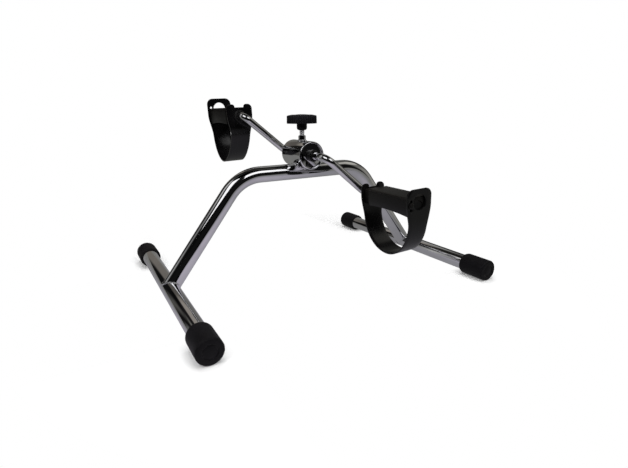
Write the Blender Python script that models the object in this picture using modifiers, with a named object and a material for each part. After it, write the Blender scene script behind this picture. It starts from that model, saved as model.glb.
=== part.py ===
"""Pedal exerciser: a bent tube frame, a cranked axle in a friction hub and two pedals with foot straps.

Units are metres. +X runs along the arch, +Y along the crank axle to the far pedal, and +Z is up.
The origin lies on the floor under the middle of the arch.
"""

import math

import bmesh
import bpy
from mathutils import Matrix

# Gaps between pieces
FIT_GAP = 0.0003
RUN_GAP = 0.0003
MERGE = 0.00001
CUT_MARGIN = 0.004

# Frame tubes
TUBE_DIAMETER = 0.0254
TUBE_WALL = 0.0012
BASE_SPACING = 0.460
BASE_LENGTH = 0.406
ARCH_RISE = 0.1578
ARCH_CORNER_SPACING = 0.219
ARCH_BEND_RADIUS = 0.066

# Rubber foot caps
CAP_LENGTH = 0.0465
CAP_WALL = 0.0043
CAP_LIP_WALL = 0.0014
CAP_SHOULDER = 0.006
CAP_END_WALL = 0.005
CAP_EDGE_RADIUS = 0.0045
CAP_DIMPLE_DIAMETER = 0.0145
CAP_DIMPLE_DEPTH = 0.0008

# Hub welded on top of the arch
HUB_DIAMETER = 0.044
HUB_LENGTH = 0.064
HUB_WALL = 0.0022
HUB_SINK = 0.0075
DISC_THICKNESS = 0.002
DISC_RECESS = 0.0015

# Crank axle, its bushes and its collars
ROD_DIAMETER = 0.012
CRANK_RADIUS = 0.097
CRANK_ANGLE = math.radians(38.5)
AXLE_SHIFT = 0.008
AXLE_CORNER_REACH = 0.0345
ARM_LEAN = 0.003
AXLE_BEND_RADIUS = 0.015
SPINDLE_BEND_RADIUS = 0.010
PEDAL_OFFSET = 0.0515
AXLE_BUSH_WALL = 0.0018
AXLE_BUSH_LENGTH = 0.009
AXLE_FLANGE_WIDTH = 0.0008
AXLE_FLANGE_THICKNESS = 0.007
COLLAR_WALL = 0.004
COLLAR_LENGTH = 0.007

# Tension knob, screw, boss and brake pad
KNOB_DIAMETER = 0.0484
KNOB_HEIGHT = 0.0143
KNOB_CROWN = 0.0012
KNOB_EDGE = 0.0014
KNOB_RIBS = 40
KNOB_RIB_DEPTH = 0.0008
NECK_DIAMETER = 0.0165
NECK_LENGTH = 0.0105
NECK_TAPER = 0.0025
SCREW_DIAMETER = 0.0078
SCREW_EXPOSED = 0.0082
SCREW_GRIP = 0.016
SPIGOT_DIAMETER = 0.004
SPIGOT_LENGTH = 0.003
BOSS_DIAMETER = 0.012
BOSS_HEIGHT = 0.0078
BOSS_CHAMFER = 0.0008
PAD_DIAMETER = 0.014
PAD_HEIGHT = 0.006

# Pedal body
PEDAL_LENGTH = 0.1022
PEDAL_SWING = math.radians(-2.0)
BODY_TOP = 0.014
BODY_TOP_WIDTH = 0.039
BODY_SHOULDER = 0.005
BODY_CREASE_DROP = 0.0015
BODY_CREASE_WIDTH = 0.0386
BODY_BOTTOM = 0.0133
BODY_BOTTOM_WIDTH = 0.0356
BODY_SAG = 0.0028
BODY_SAG_LAND = 0.004
BODY_EDGE = 0.0016
NECK_BLOCK_LENGTH = 0.0125
NECK_BLOCK_INSET = 0.0021
PEDAL_BUSH_WALL = 0.0010
PEDAL_BUSH_LENGTH = 0.028
PEDAL_FLANGE_WIDTH = 0.0025
PEDAL_FLANGE_THICKNESS = 0.0012
PLUG_THICKNESS = 0.003
PLUG_CHAMFER = 0.0008
SPINDLE_END_ROOM = 0.0015
SPINDLE_TIP = 0.001
PUSH_NUT_WALL = 0.0012
PUSH_NUT_THICKNESS = 0.0018

# Foot strap and the peg that holds its outer tab
STRAP_THICKNESS = 0.0022
STRAP_PLATE_WIDTH = 0.044
STRAP_LEG_WIDTH = 0.0332
STRAP_TAPER_TOP = 0.002
STRAP_TAPER_DROP = 0.033
STRAP_LEG_DROP = 0.016
STRAP_DEPTH = 0.0777
STRAP_LOW_POINT = 0.0575
STRAP_INNER_CURL = 0.42
STRAP_OUTER_CURL = 0.72
STRAP_LOW_CURL = 0.45
SLACK_DROP = 0.0012
SLACK_SHIFT = 0.005
SLACK_CURL = 0.33
EAR_TOP = 0.0192
EAR_CORNER = 0.0075
EAR_NOTCH_WIDTH = 0.016
EAR_NOTCH_DEPTH = 0.005
EAR_ROUND = 0.0045
TAB_CORNER = 0.0105
TAB_MARGIN = 0.0159
TAB_HOLE_DIAMETER = 0.0225
TAB_HOLE_DROP = 0.0025
ADJUST_HOLES = 3
ADJUST_PITCH = 0.006
ADJUST_OFFSET = 0.0154
PEG_RISE = 0.0029
PEG_DIAMETER = 0.0038
PEG_HEAD_DIAMETER = 0.0072
PEG_HEAD_THICKNESS = 0.0022
PEG_ROOT = 0.004

# Facets on round pieces
TUBE_SIDES = 24
BORE_SIDES = 16
CAP_SIDES = 28
HUB_SIDES = 36
ROD_SIDES = 16
SMALL_SIDES = 16
BEND_STEP = math.radians(8.0)
SAG_SIDES = 192

# Sizes that follow from the ones above
tube_radius = TUBE_DIAMETER / 2
rod_radius = ROD_DIAMETER / 2
hub_radius = HUB_DIAMETER / 2
hub_half = HUB_LENGTH / 2
cap_bore = tube_radius + FIT_GAP
cap_radius = cap_bore + CAP_WALL
base_half = BASE_SPACING / 2
base_axis_height = cap_radius * math.cos(math.pi / CAP_SIDES)
arch_axis_height = base_axis_height + ARCH_RISE
hub_axis_height = arch_axis_height + tube_radius + hub_radius - HUB_SINK
pedal_inner = hub_half + PEDAL_OFFSET
strap_half = STRAP_THICKNESS / 2
body_start = strap_half + FIT_GAP
body_end = PEDAL_LENGTH - strap_half - FIT_GAP
pedal_bush_radius = rod_radius + RUN_GAP + PEDAL_BUSH_WALL
push_nut_radius = rod_radius + FIT_GAP + PUSH_NUT_WALL
recess_radius = max(push_nut_radius, pedal_bush_radius) + 2 * FIT_GAP
spindle_end = body_end - PLUG_THICKNESS - SPINDLE_END_ROOM
push_nut_outer = spindle_end - SPINDLE_TIP
recess_floor = push_nut_outer - PUSH_NUT_THICKNESS - FIT_GAP
flange_face = -strap_half - FIT_GAP - PEDAL_FLANGE_THICKNESS

for old in list(bpy.data.objects):
    bpy.data.objects.remove(old, do_unlink=True)

parts = bpy.data.collections.new("pedal_exerciser")
cutters = bpy.data.collections.new("cutters")
bpy.context.scene.collection.children.link(parts)
bpy.context.scene.collection.children.link(cutters)


def surface(name, color, roughness, metallic):
    """Make a Principled material."""
    material = bpy.data.materials.new(name)
    material.use_nodes = True
    shader = material.node_tree.nodes["Principled BSDF"]
    shader.inputs["Base Color"].default_value = (*color, 1.0)
    shader.inputs["Roughness"].default_value = roughness
    shader.inputs["Metallic"].default_value = metallic
    return material


chrome = surface("chrome", (0.78, 0.78, 0.80), 0.08, 1.0)
zinc_steel = surface("zinc_steel", (0.60, 0.60, 0.58), 0.35, 1.0)
foot_rubber = surface("foot_rubber", (0.012, 0.012, 0.013), 0.75, 0.0)
pedal_plastic = surface("pedal_plastic", (0.016, 0.015, 0.016), 0.42, 0.0)
strap_plastic = surface("strap_plastic", (0.014, 0.013, 0.015), 0.33, 0.0)
knob_plastic = surface("knob_plastic", (0.020, 0.019, 0.021), 0.50, 0.0)
bush_nylon = surface("bush_nylon", (0.018, 0.018, 0.018), 0.45, 0.0)
pad_nylon = surface("pad_nylon", (0.55, 0.52, 0.44), 0.55, 0.0)


def add_piece(obj, material, parent=None):
    """Put a finished piece into the object's collection, on its parent and in its material."""
    parts.objects.link(obj)
    obj.parent = parent
    obj.data.materials.clear()
    obj.data.materials.append(material)
    return obj


def add_cutter(obj, parent=None):
    """Keep a cutting or joining shape out of the model."""
    cutters.objects.link(obj)
    obj.parent = parent
    obj.hide_render = True
    obj.display_type = "WIRE"
    return obj


def axis_empty(name, location, parent=None, swing=0.0):
    """Stand an empty on a joint axis."""
    empty = bpy.data.objects.new(name, None)
    parts.objects.link(empty)
    empty.parent = parent
    empty.location = location
    empty.rotation_euler = (0.0, swing, 0.0)
    empty.empty_display_size = 0.02
    return empty


def boolean(obj, other, operation="DIFFERENCE"):
    """Cut a shape out of a piece, or join it on."""
    modifier = obj.modifiers.new(operation.title(), "BOOLEAN")
    modifier.operation = operation
    modifier.object = other
    modifier.solver = "EXACT"


def along_y(side):
    """Turn a shape's own +Z to the side's outward direction along Y."""
    return Matrix.Rotation(-side * math.pi / 2, 4, "X")


def turned(name, profile, sides, closed=False):
    """Turn a profile of (radius, height) pairs about Z. It runs down its outer side."""
    mesh = bpy.data.meshes.new(name)
    points = [(radius, 0.0, height) for radius, height in profile]
    edges = [(k, k + 1) for k in range(len(points) - 1)]
    if closed:
        edges.append((len(points) - 1, 0))
    mesh.from_pydata(points, edges, [])
    obj = bpy.data.objects.new(name, mesh)
    screw = obj.modifiers.new("Turn", "SCREW")
    screw.axis = "Z"
    screw.steps = sides
    screw.render_steps = sides
    screw.use_merge_vertices = True
    screw.merge_threshold = MERGE
    screw.use_smooth_shade = True
    return obj


def sleeve(name, outer, inner, low, high, sides):
    """Turn a plain tube between two heights."""
    return turned(name, [(outer, high), (outer, low), (inner, low), (inner, high)], sides, closed=True)


def cylinder(name, radius, low, high, sides):
    """Make a solid cylinder along Z between two heights."""
    mesh = bpy.data.meshes.new(name)
    shape = bmesh.new()
    bmesh.ops.create_cone(shape, cap_ends=True, segments=sides, depth=high - low,
                          radius1=radius, radius2=radius)
    bmesh.ops.translate(shape, verts=shape.verts, vec=(0.0, 0.0, (low + high) / 2))
    shape.to_mesh(mesh)
    shape.free()
    return bpy.data.objects.new(name, mesh)


def curve_mesh(name, curve):
    """Turn a curve into a closed mesh object."""
    source = bpy.data.objects.new(name + "_curve", curve)
    bpy.context.scene.collection.objects.link(source)
    depsgraph = bpy.context.evaluated_depsgraph_get()
    mesh = bpy.data.meshes.new_from_object(source.evaluated_get(depsgraph))
    mesh.name = name
    shape = bmesh.new()
    shape.from_mesh(mesh)
    bmesh.ops.remove_doubles(shape, verts=shape.verts, dist=MERGE)
    bmesh.ops.recalc_face_normals(shape, faces=shape.faces)
    shape.to_mesh(mesh)
    shape.free()
    obj = bpy.data.objects.new(name, mesh)
    obj.matrix_world = source.matrix_world
    bpy.data.objects.remove(source, do_unlink=True)
    return obj


def swept(name, points, radius, sides):
    """Sweep a round section along a line of points."""
    curve = bpy.data.curves.new(name, "CURVE")
    curve.dimensions = "3D"
    curve.bevel_depth = radius
    curve.bevel_resolution = sides // 2 - 2
    curve.use_fill_caps = True
    spline = curve.splines.new("POLY")
    spline.points.add(len(points) - 1)
    for point, place in zip(spline.points, points):
        point.co = (*place, 1.0)
    obj = curve_mesh(name, curve)
    obj.data.shade_smooth()
    obj.data.set_sharp_from_angle(angle=math.radians(40.0))
    return obj


def extruded(name, outline, thickness):
    """Extrude a closed outline by half its thickness each way along Z."""
    curve = bpy.data.curves.new(name, "CURVE")
    curve.dimensions = "2D"
    curve.fill_mode = "BOTH"
    curve.extrude = thickness / 2
    spline = curve.splines.new("POLY")
    spline.points.add(len(outline) - 1)
    for point, place in zip(spline.points, outline):
        point.co = (*place, 0.0, 1.0)
    spline.use_cyclic_u = True
    return curve_mesh(name, curve)


def bent_line(corners, radii):
    """Round the inner corners of a line of straight runs, each with its own bend radius."""
    points = [corners[0]]
    for before, corner, after, radius in zip(corners, corners[1:], corners[2:], radii):
        way_in = (corner - before).normalized()
        way_out = (after - corner).normalized()
        turn = way_in.angle(way_out)
        reach = radius * math.tan(turn / 2)
        start = corner - reach * way_in
        inward = (way_out - way_in * way_in.dot(way_out)).normalized()
        steps = max(3, math.ceil(turn / BEND_STEP))
        for k in range(steps + 1):
            angle = turn * k / steps
            points.append(start + radius * (math.sin(angle) * way_in + (1 - math.cos(angle)) * inward))
    points.append(corners[-1])
    return points


def make_frame():
    """Make the arch, the two base tubes and their rubber caps."""
    leg_foot = Matrix.Translation((base_half, 0.0, base_axis_height)).translation
    top_corner = Matrix.Translation((ARCH_CORNER_SPACING / 2, 0.0, arch_axis_height)).translation
    mirror = Matrix.Scale(-1.0, 3, (1.0, 0.0, 0.0))
    corners = [mirror @ leg_foot, mirror @ top_corner, top_corner, leg_foot]
    line = bent_line(corners, [ARCH_BEND_RADIUS] * 2)
    arch = add_piece(swept("arch_tube", line, tube_radius, TUBE_SIDES), chrome)
    below = [point.copy() for point in line]
    below[0] += (line[0] - line[1]).normalized() * tube_radius
    below[-1] += (line[-1] - line[-2]).normalized() * tube_radius
    boolean(arch, add_cutter(swept("arch_bore", below, tube_radius - TUBE_WALL, BORE_SIDES)))
    seat = add_cutter(cylinder("hub_seat", hub_radius + FIT_GAP, -hub_half, hub_half, HUB_SIDES))
    seat.matrix_world = Matrix.Translation((0.0, 0.0, hub_axis_height)) @ along_y(1)
    boolean(arch, seat)

    cap_start = BASE_LENGTH / 2 - CAP_LENGTH
    tube_end = BASE_LENGTH / 2 - CAP_END_WALL - FIT_GAP
    for place, x in (("left", -base_half), ("right", base_half)):
        on_floor = Matrix.Translation((x, 0.0, base_axis_height))
        tube_bore = tube_radius - TUBE_WALL
        tube = sleeve(f"base_tube_{place}", tube_radius, tube_bore, -tube_end, tube_end, TUBE_SIDES)
        add_piece(tube, chrome).matrix_world = on_floor @ along_y(1)
        cope_half = TUBE_DIAMETER + CUT_MARGIN
        cope = cylinder(f"cope_{place}", tube_radius + FIT_GAP, -cope_half, cope_half, TUBE_SIDES)
        add_cutter(cope).matrix_world = on_floor @ along_y(1)
        boolean(arch, cope)
        for depth, side in (("near", -1), ("far", 1)):
            cap = add_piece(turned(f"foot_cap_{place}_{depth}", cap_profile(), CAP_SIDES), foot_rubber)
            facet_down = Matrix.Rotation(math.pi / CAP_SIDES, 4, "Z")
            out_along = Matrix.Translation((0.0, side * cap_start, 0.0))
            cap.matrix_world = on_floor @ out_along @ along_y(side) @ facet_down


def cap_profile():
    """Outline a cup from the dimple in its end, round its edge and lip, to the floor of its bore."""
    dimple = CAP_DIMPLE_DIAMETER / 2
    dimple_floor = CAP_LENGTH - CAP_DIMPLE_DEPTH
    profile = [(0.0, dimple_floor), (dimple - CAP_DIMPLE_DEPTH, dimple_floor), (dimple, CAP_LENGTH)]
    for k in range(5):
        angle = math.pi / 2 * k / 4
        radius = cap_radius - CAP_EDGE_RADIUS * (1 - math.sin(angle))
        profile.append((radius, CAP_LENGTH - CAP_EDGE_RADIUS * (1 - math.cos(angle))))
    lip = cap_bore + CAP_LIP_WALL
    for k in range(4):
        angle = math.pi / 2 * k / 3
        radius = lip + (cap_radius - lip) * math.cos(angle)
        profile.append((radius, CAP_SHOULDER * (1 - math.sin(angle)) + CAP_LIP_WALL))
    profile += [(lip, 0.0), (cap_bore, 0.0)]
    profile += [(cap_bore, CAP_LENGTH - CAP_END_WALL), (0.0, CAP_LENGTH - CAP_END_WALL)]
    return profile


def make_hub(axle):
    """Make the hub shell with its end discs, nylon bushes and the tapped boss on top."""
    shell = sleeve("hub_shell", hub_radius, hub_radius - HUB_WALL, -hub_half, hub_half, HUB_SIDES)
    add_piece(shell, chrome, axle).matrix_local = along_y(1)
    screw_hole_radius = SCREW_DIAMETER / 2 + RUN_GAP
    screw_hole = cylinder("screw_hole", screw_hole_radius, 0.0, hub_radius + CUT_MARGIN, SMALL_SIDES)
    boolean(shell, add_cutter(screw_hole, axle))

    bush_bore = rod_radius + RUN_GAP
    bush_radius = bush_bore + AXLE_BUSH_WALL
    disc_bore = bush_radius + FIT_GAP
    disc_radius = hub_radius - HUB_WALL - FIT_GAP
    disc_face = hub_half - DISC_RECESS
    flange_radius = disc_bore + AXLE_FLANGE_WIDTH
    flange_seat = disc_face + FIT_GAP
    flange_top = flange_seat + AXLE_FLANGE_THICKNESS
    bush_end = flange_seat - AXLE_BUSH_LENGTH
    bush_profile = [(bush_bore, flange_top), (flange_radius, flange_top), (flange_radius, flange_seat)]
    bush_profile += [(bush_radius, flange_seat), (bush_radius, bush_end), (bush_bore, bush_end)]
    for depth, side in (("near", -1), ("far", 1)):
        disc_back = disc_face - DISC_THICKNESS
        disc = sleeve(f"hub_disc_{depth}", disc_radius, disc_bore, disc_back, disc_face, HUB_SIDES)
        add_piece(disc, chrome, axle).matrix_local = along_y(side)
        bush = turned(f"axle_bush_{depth}", bush_profile, TUBE_SIDES, closed=True)
        add_piece(bush, bush_nylon, axle).matrix_local = along_y(side)

    boss_top = hub_radius + BOSS_HEIGHT
    boss_radius = BOSS_DIAMETER / 2
    boss_profile = [(screw_hole_radius, boss_top), (boss_radius - BOSS_CHAMFER, boss_top)]
    boss_profile += [(boss_radius, boss_top - BOSS_CHAMFER), (boss_radius, hub_radius - HUB_WALL)]
    boss_profile.append((screw_hole_radius, hub_radius - HUB_WALL))
    boss = add_piece(turned("tension_boss", boss_profile, TUBE_SIDES, closed=True), chrome, axle)
    boss_seat = cylinder("boss_seat", hub_radius + FIT_GAP, -hub_half, hub_half, HUB_SIDES)
    add_cutter(boss_seat, axle).matrix_local = along_y(1)
    boolean(boss, boss_seat)
    return bush_end


def make_crank(axle, bush_end):
    """Bend the one-piece axle, arms and spindles, and add the collars that keep it in the hub."""
    axle_corner = hub_half + AXLE_CORNER_REACH
    arm_corner = axle_corner - ARM_LEAN
    right = Matrix.Translation((math.cos(CRANK_ANGLE), 0.0, -math.sin(CRANK_ANGLE))).translation
    out = Matrix.Translation((0.0, 1.0, 0.0)).translation
    tip = pedal_inner + spindle_end
    corners = [CRANK_RADIUS * right - tip * out, CRANK_RADIUS * right - arm_corner * out]
    corners += [-axle_corner * out, axle_corner * out]
    corners += [-CRANK_RADIUS * right + arm_corner * out, -CRANK_RADIUS * right + tip * out]
    radii = [SPINDLE_BEND_RADIUS, AXLE_BEND_RADIUS, AXLE_BEND_RADIUS, SPINDLE_BEND_RADIUS]
    line = [point - AXLE_SHIFT * out for point in bent_line(corners, radii)]
    add_piece(swept("crank_rod", line, rod_radius, ROD_SIDES), chrome, axle)

    collar_top = bush_end - RUN_GAP
    collar_bore = rod_radius + FIT_GAP
    for depth, side in (("near", -1), ("far", 1)):
        collar = sleeve(f"axle_collar_{depth}", collar_bore + COLLAR_WALL, collar_bore,
                        collar_top - COLLAR_LENGTH, collar_top, TUBE_SIDES)
        add_piece(collar, zinc_steel, axle).matrix_local = along_y(side)
    return CRANK_RADIUS * right


def make_tension(axle):
    """Make the ribbed knob, its screw and the pad that the screw presses on the axle."""
    pad_low = rod_radius + FIT_GAP
    pad_top = pad_low + PAD_HEIGHT
    spigot = SPIGOT_DIAMETER / 2
    socket_floor = pad_top - SPIGOT_LENGTH
    pad_profile = [(0.0, socket_floor), (spigot + RUN_GAP, socket_floor), (spigot + RUN_GAP, pad_top)]
    pad_profile += [(PAD_DIAMETER / 2, pad_top), (PAD_DIAMETER / 2, pad_low), (0.0, pad_low)]
    add_piece(turned("brake_pad", pad_profile, SMALL_SIDES), pad_nylon, axle)

    neck_low = hub_radius + BOSS_HEIGHT + SCREW_EXPOSED
    screw_radius = SCREW_DIAMETER / 2
    screw_top = neck_low + SCREW_GRIP
    shoulder = pad_top + FIT_GAP
    screw_profile = [(0.0, screw_top), (screw_radius, screw_top), (screw_radius, shoulder)]
    screw_profile += [(spigot, shoulder), (spigot, socket_floor + FIT_GAP), (0.0, socket_floor + FIT_GAP)]
    add_piece(turned("tension_screw", screw_profile, SMALL_SIDES), zinc_steel, axle)

    knob_low = neck_low + NECK_LENGTH
    knob_top = knob_low + KNOB_HEIGHT
    knob_radius = KNOB_DIAMETER / 2
    neck_radius = NECK_DIAMETER / 2
    bore = screw_radius + FIT_GAP
    knob_profile = [(0.0, knob_top), (knob_radius - KNOB_EDGE, knob_top - KNOB_CROWN)]
    knob_profile += [(knob_radius, knob_top - KNOB_CROWN - KNOB_EDGE), (knob_radius, knob_low)]
    knob_profile += [(neck_radius, knob_low), (neck_radius, neck_low + NECK_TAPER)]
    knob_profile += [(bore + NECK_TAPER / 2, neck_low), (bore, neck_low)]
    knob_profile += [(bore, screw_top + FIT_GAP), (0.0, screw_top + FIT_GAP)]
    knob = add_piece(turned("knob", knob_profile, 2 * KNOB_RIBS), knob_plastic, axle)
    outline = []
    for k in range(2 * KNOB_RIBS):
        angle = math.pi * (k + 0.5) / KNOB_RIBS
        radius = knob_radius + MERGE - KNOB_RIB_DEPTH * (k % 2)
        outline.append((radius * math.cos(angle), radius * math.sin(angle)))
    ribs = extruded("knob_ribs", outline, 2 * (KNOB_HEIGHT + NECK_LENGTH))
    ribs.location = (0.0, 0.0, knob_low)
    boolean(knob, add_cutter(ribs, axle), "INTERSECT")


def body_outline(inset):
    """Outline the pedal body's section: round shoulders, a crease along each side and a narrower foot."""
    half_top = BODY_TOP_WIDTH / 2 - inset
    half_crease = BODY_CREASE_WIDTH / 2 - inset
    half_bottom = BODY_BOTTOM_WIDTH / 2 - inset
    right_side = [(half_bottom, inset - BODY_BOTTOM), (half_crease, -BODY_CREASE_DROP)]
    for k in range(4):
        angle = math.pi / 2 * k / 3
        x = half_top - BODY_SHOULDER * (1 - math.cos(angle))
        right_side.append((x, BODY_TOP - inset - BODY_SHOULDER * (1 - math.sin(angle))))
    left_side = [(-x, z) for x, z in reversed(right_side)]
    return right_side + left_side


def body_block(name, inset, start, end, side):
    """Extrude the body's section between two distances from the inner strap plate."""
    obj = extruded(name, body_outline(inset), end - start)
    middle = Matrix.Translation((0.0, side * (start + end) / 2, 0.0))
    return obj, middle @ Matrix.Rotation(math.pi / 2, 4, "X")


def make_pedal_body(depth, side, spindle):
    """Mould the body: a beam on a narrower inner block, bored for its bushes, with the strap's peg."""
    beam_start = body_start + NECK_BLOCK_LENGTH
    body, place = body_block(f"{depth}_pedal_body", 0.0, beam_start, body_end, side)
    add_piece(body, pedal_plastic, spindle).matrix_local = place
    bevel = body.modifiers.new("Round", "BEVEL")
    bevel.width = BODY_EDGE
    bevel.segments = 2
    bevel.limit_method = "ANGLE"
    bevel.angle_limit = math.radians(40.0)
    neck_end = beam_start + CUT_MARGIN
    neck, place = body_block(f"{depth}_neck_block", NECK_BLOCK_INSET, body_start, neck_end, side)
    add_cutter(neck, spindle).matrix_local = place
    boolean(body, neck, "UNION")

    length = body_end - body_start - 2 * BODY_SAG_LAND
    sag_radius = length * length / (8 * BODY_SAG) + BODY_SAG / 2
    sag = cylinder(f"{depth}_sag", sag_radius, -BODY_CREASE_WIDTH, BODY_CREASE_WIDTH, SAG_SIDES)
    sag_axis = BODY_SAG - BODY_BOTTOM - sag_radius
    sag_place = Matrix.Translation((0.0, side * (body_start + body_end) / 2, sag_axis))
    add_cutter(sag, spindle).matrix_local = sag_place @ Matrix.Rotation(math.pi / 2, 4, "Y")
    boolean(body, sag)

    bore_radius = pedal_bush_radius + FIT_GAP
    bore_low = body_start - CUT_MARGIN
    bore_high = body_end + CUT_MARGIN
    bore_profile = [(0.0, bore_high), (recess_radius, bore_high), (recess_radius, recess_floor)]
    bore_profile += [(bore_radius, recess_floor), (bore_radius, bore_low), (0.0, bore_low)]
    bore = turned(f"{depth}_bore", bore_profile, TUBE_SIDES)
    add_cutter(bore, spindle).matrix_local = along_y(side)
    boolean(body, bore)

    head_low = PEDAL_LENGTH + strap_half + FIT_GAP
    head_top = head_low + PEG_HEAD_THICKNESS
    shank = PEG_DIAMETER / 2
    head = PEG_HEAD_DIAMETER / 2
    peg_profile = [(0.0, head_top), (0.7 * head, head_top - PEG_HEAD_THICKNESS / 4)]
    peg_profile += [(head, head_low + PEG_HEAD_THICKNESS / 4), (head, head_low), (shank, head_low)]
    peg_profile += [(shank, body_end - PEG_ROOT), (0.0, body_end - PEG_ROOT)]
    peg = turned(f"{depth}_peg", peg_profile, SMALL_SIDES)
    peg_place = Matrix.Translation((-ADJUST_OFFSET, 0.0, PEG_RISE))
    add_cutter(peg, spindle).matrix_local = peg_place @ along_y(side)
    boolean(body, peg, "UNION")


def make_pedal_fittings(depth, side, spindle, axle_spindle):
    """Make the two bushes in the body, the end plug and the push nut on the spindle."""
    bore = rod_radius + RUN_GAP
    flange = pedal_bush_radius + PEDAL_FLANGE_WIDTH
    flange_seat = flange_face + PEDAL_FLANGE_THICKNESS
    inner_profile = [(pedal_bush_radius, body_start + PEDAL_BUSH_LENGTH), (pedal_bush_radius, flange_seat)]
    inner_profile += [(flange, flange_seat), (flange, flange_face), (bore, flange_face)]
    inner_profile.append((bore, body_start + PEDAL_BUSH_LENGTH))
    inner = turned(f"{depth}_inner_bush", inner_profile, TUBE_SIDES, closed=True)
    add_piece(inner, bush_nylon, spindle).matrix_local = along_y(side)

    outer_top = recess_floor - FIT_GAP
    outer_low = outer_top - PEDAL_BUSH_LENGTH
    outer = sleeve(f"{depth}_outer_bush", pedal_bush_radius, bore, outer_low, outer_top, TUBE_SIDES)
    add_piece(outer, bush_nylon, spindle).matrix_local = along_y(side)

    nut = sleeve(f"{depth}_push_nut", push_nut_radius, rod_radius + FIT_GAP,
                 push_nut_outer - PUSH_NUT_THICKNESS, push_nut_outer, TUBE_SIDES)
    add_piece(nut, zinc_steel, axle_spindle).matrix_local = along_y(side)

    plug_radius = recess_radius - FIT_GAP
    plug_profile = [(0.0, body_end), (plug_radius - PLUG_CHAMFER, body_end)]
    plug_profile.append((plug_radius, body_end - PLUG_CHAMFER))
    plug_profile += [(plug_radius, body_end - PLUG_THICKNESS), (0.0, body_end - PLUG_THICKNESS)]
    plug = turned(f"{depth}_end_plug", plug_profile, TUBE_SIDES)
    add_piece(plug, pedal_plastic, spindle).matrix_local = along_y(side)


def bezier(start, start_handle, end_handle, end, share):
    """Find a point on a cubic curve."""
    rest = 1 - share
    weights = (rest ** 3, 3 * rest ** 2 * share, 3 * rest * share ** 2, share ** 3)
    controls = (start, start_handle, end_handle, end)
    return [sum(weight * point[axis] for weight, point in zip(weights, controls)) for axis in (0, 1)]


def strap_rows(slack_notches, tab_top):
    """List rows (distance out, height, half width) from the inner ears, round the loop, to the tab."""
    plate = STRAP_PLATE_WIDTH / 2
    leg = STRAP_LEG_WIDTH / 2
    depth = STRAP_DEPTH + slack_notches * SLACK_DROP
    low = (STRAP_LOW_POINT - slack_notches * SLACK_SHIFT, -depth)

    def half_width(height):
        share = (STRAP_TAPER_TOP - height) / (STRAP_TAPER_TOP + STRAP_TAPER_DROP)
        share = min(max(share, 0.0), 1.0)
        return plate + (leg - plate) * share * share * (3 - 2 * share)

    def leg_rows(out, top, corner):
        rows = []
        for k in range(4):
            angle = math.pi / 2 * k / 3
            half = plate - corner * (1 - math.sin(angle))
            rows.append((out, top - corner * (1 - math.cos(angle)), half))
        for k in range(5):
            share = k / 4
            height = STRAP_TAPER_TOP - share * (STRAP_TAPER_TOP + STRAP_LEG_DROP)
            rows.append((out, height, half_width(height)))
        return rows

    def loop_rows(out, curl):
        start = (out, -STRAP_LEG_DROP)
        start_handle = (out, -STRAP_LEG_DROP - curl * (depth - STRAP_LEG_DROP))
        low_handle = (low[0] + STRAP_LOW_CURL * (out - low[0]), -depth)
        rows = []
        for k in range(1, 10):
            distance, height = bezier(start, start_handle, low_handle, low, k / 9)
            rows.append((distance, height, half_width(height)))
        return rows

    inner_curl = STRAP_INNER_CURL + slack_notches * SLACK_CURL
    inner = leg_rows(0.0, EAR_TOP, EAR_CORNER) + loop_rows(0.0, inner_curl)
    outer = leg_rows(PEDAL_LENGTH, tab_top, TAB_CORNER) + loop_rows(PEDAL_LENGTH, STRAP_OUTER_CURL)
    return inner + outer[-2::-1]


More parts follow.
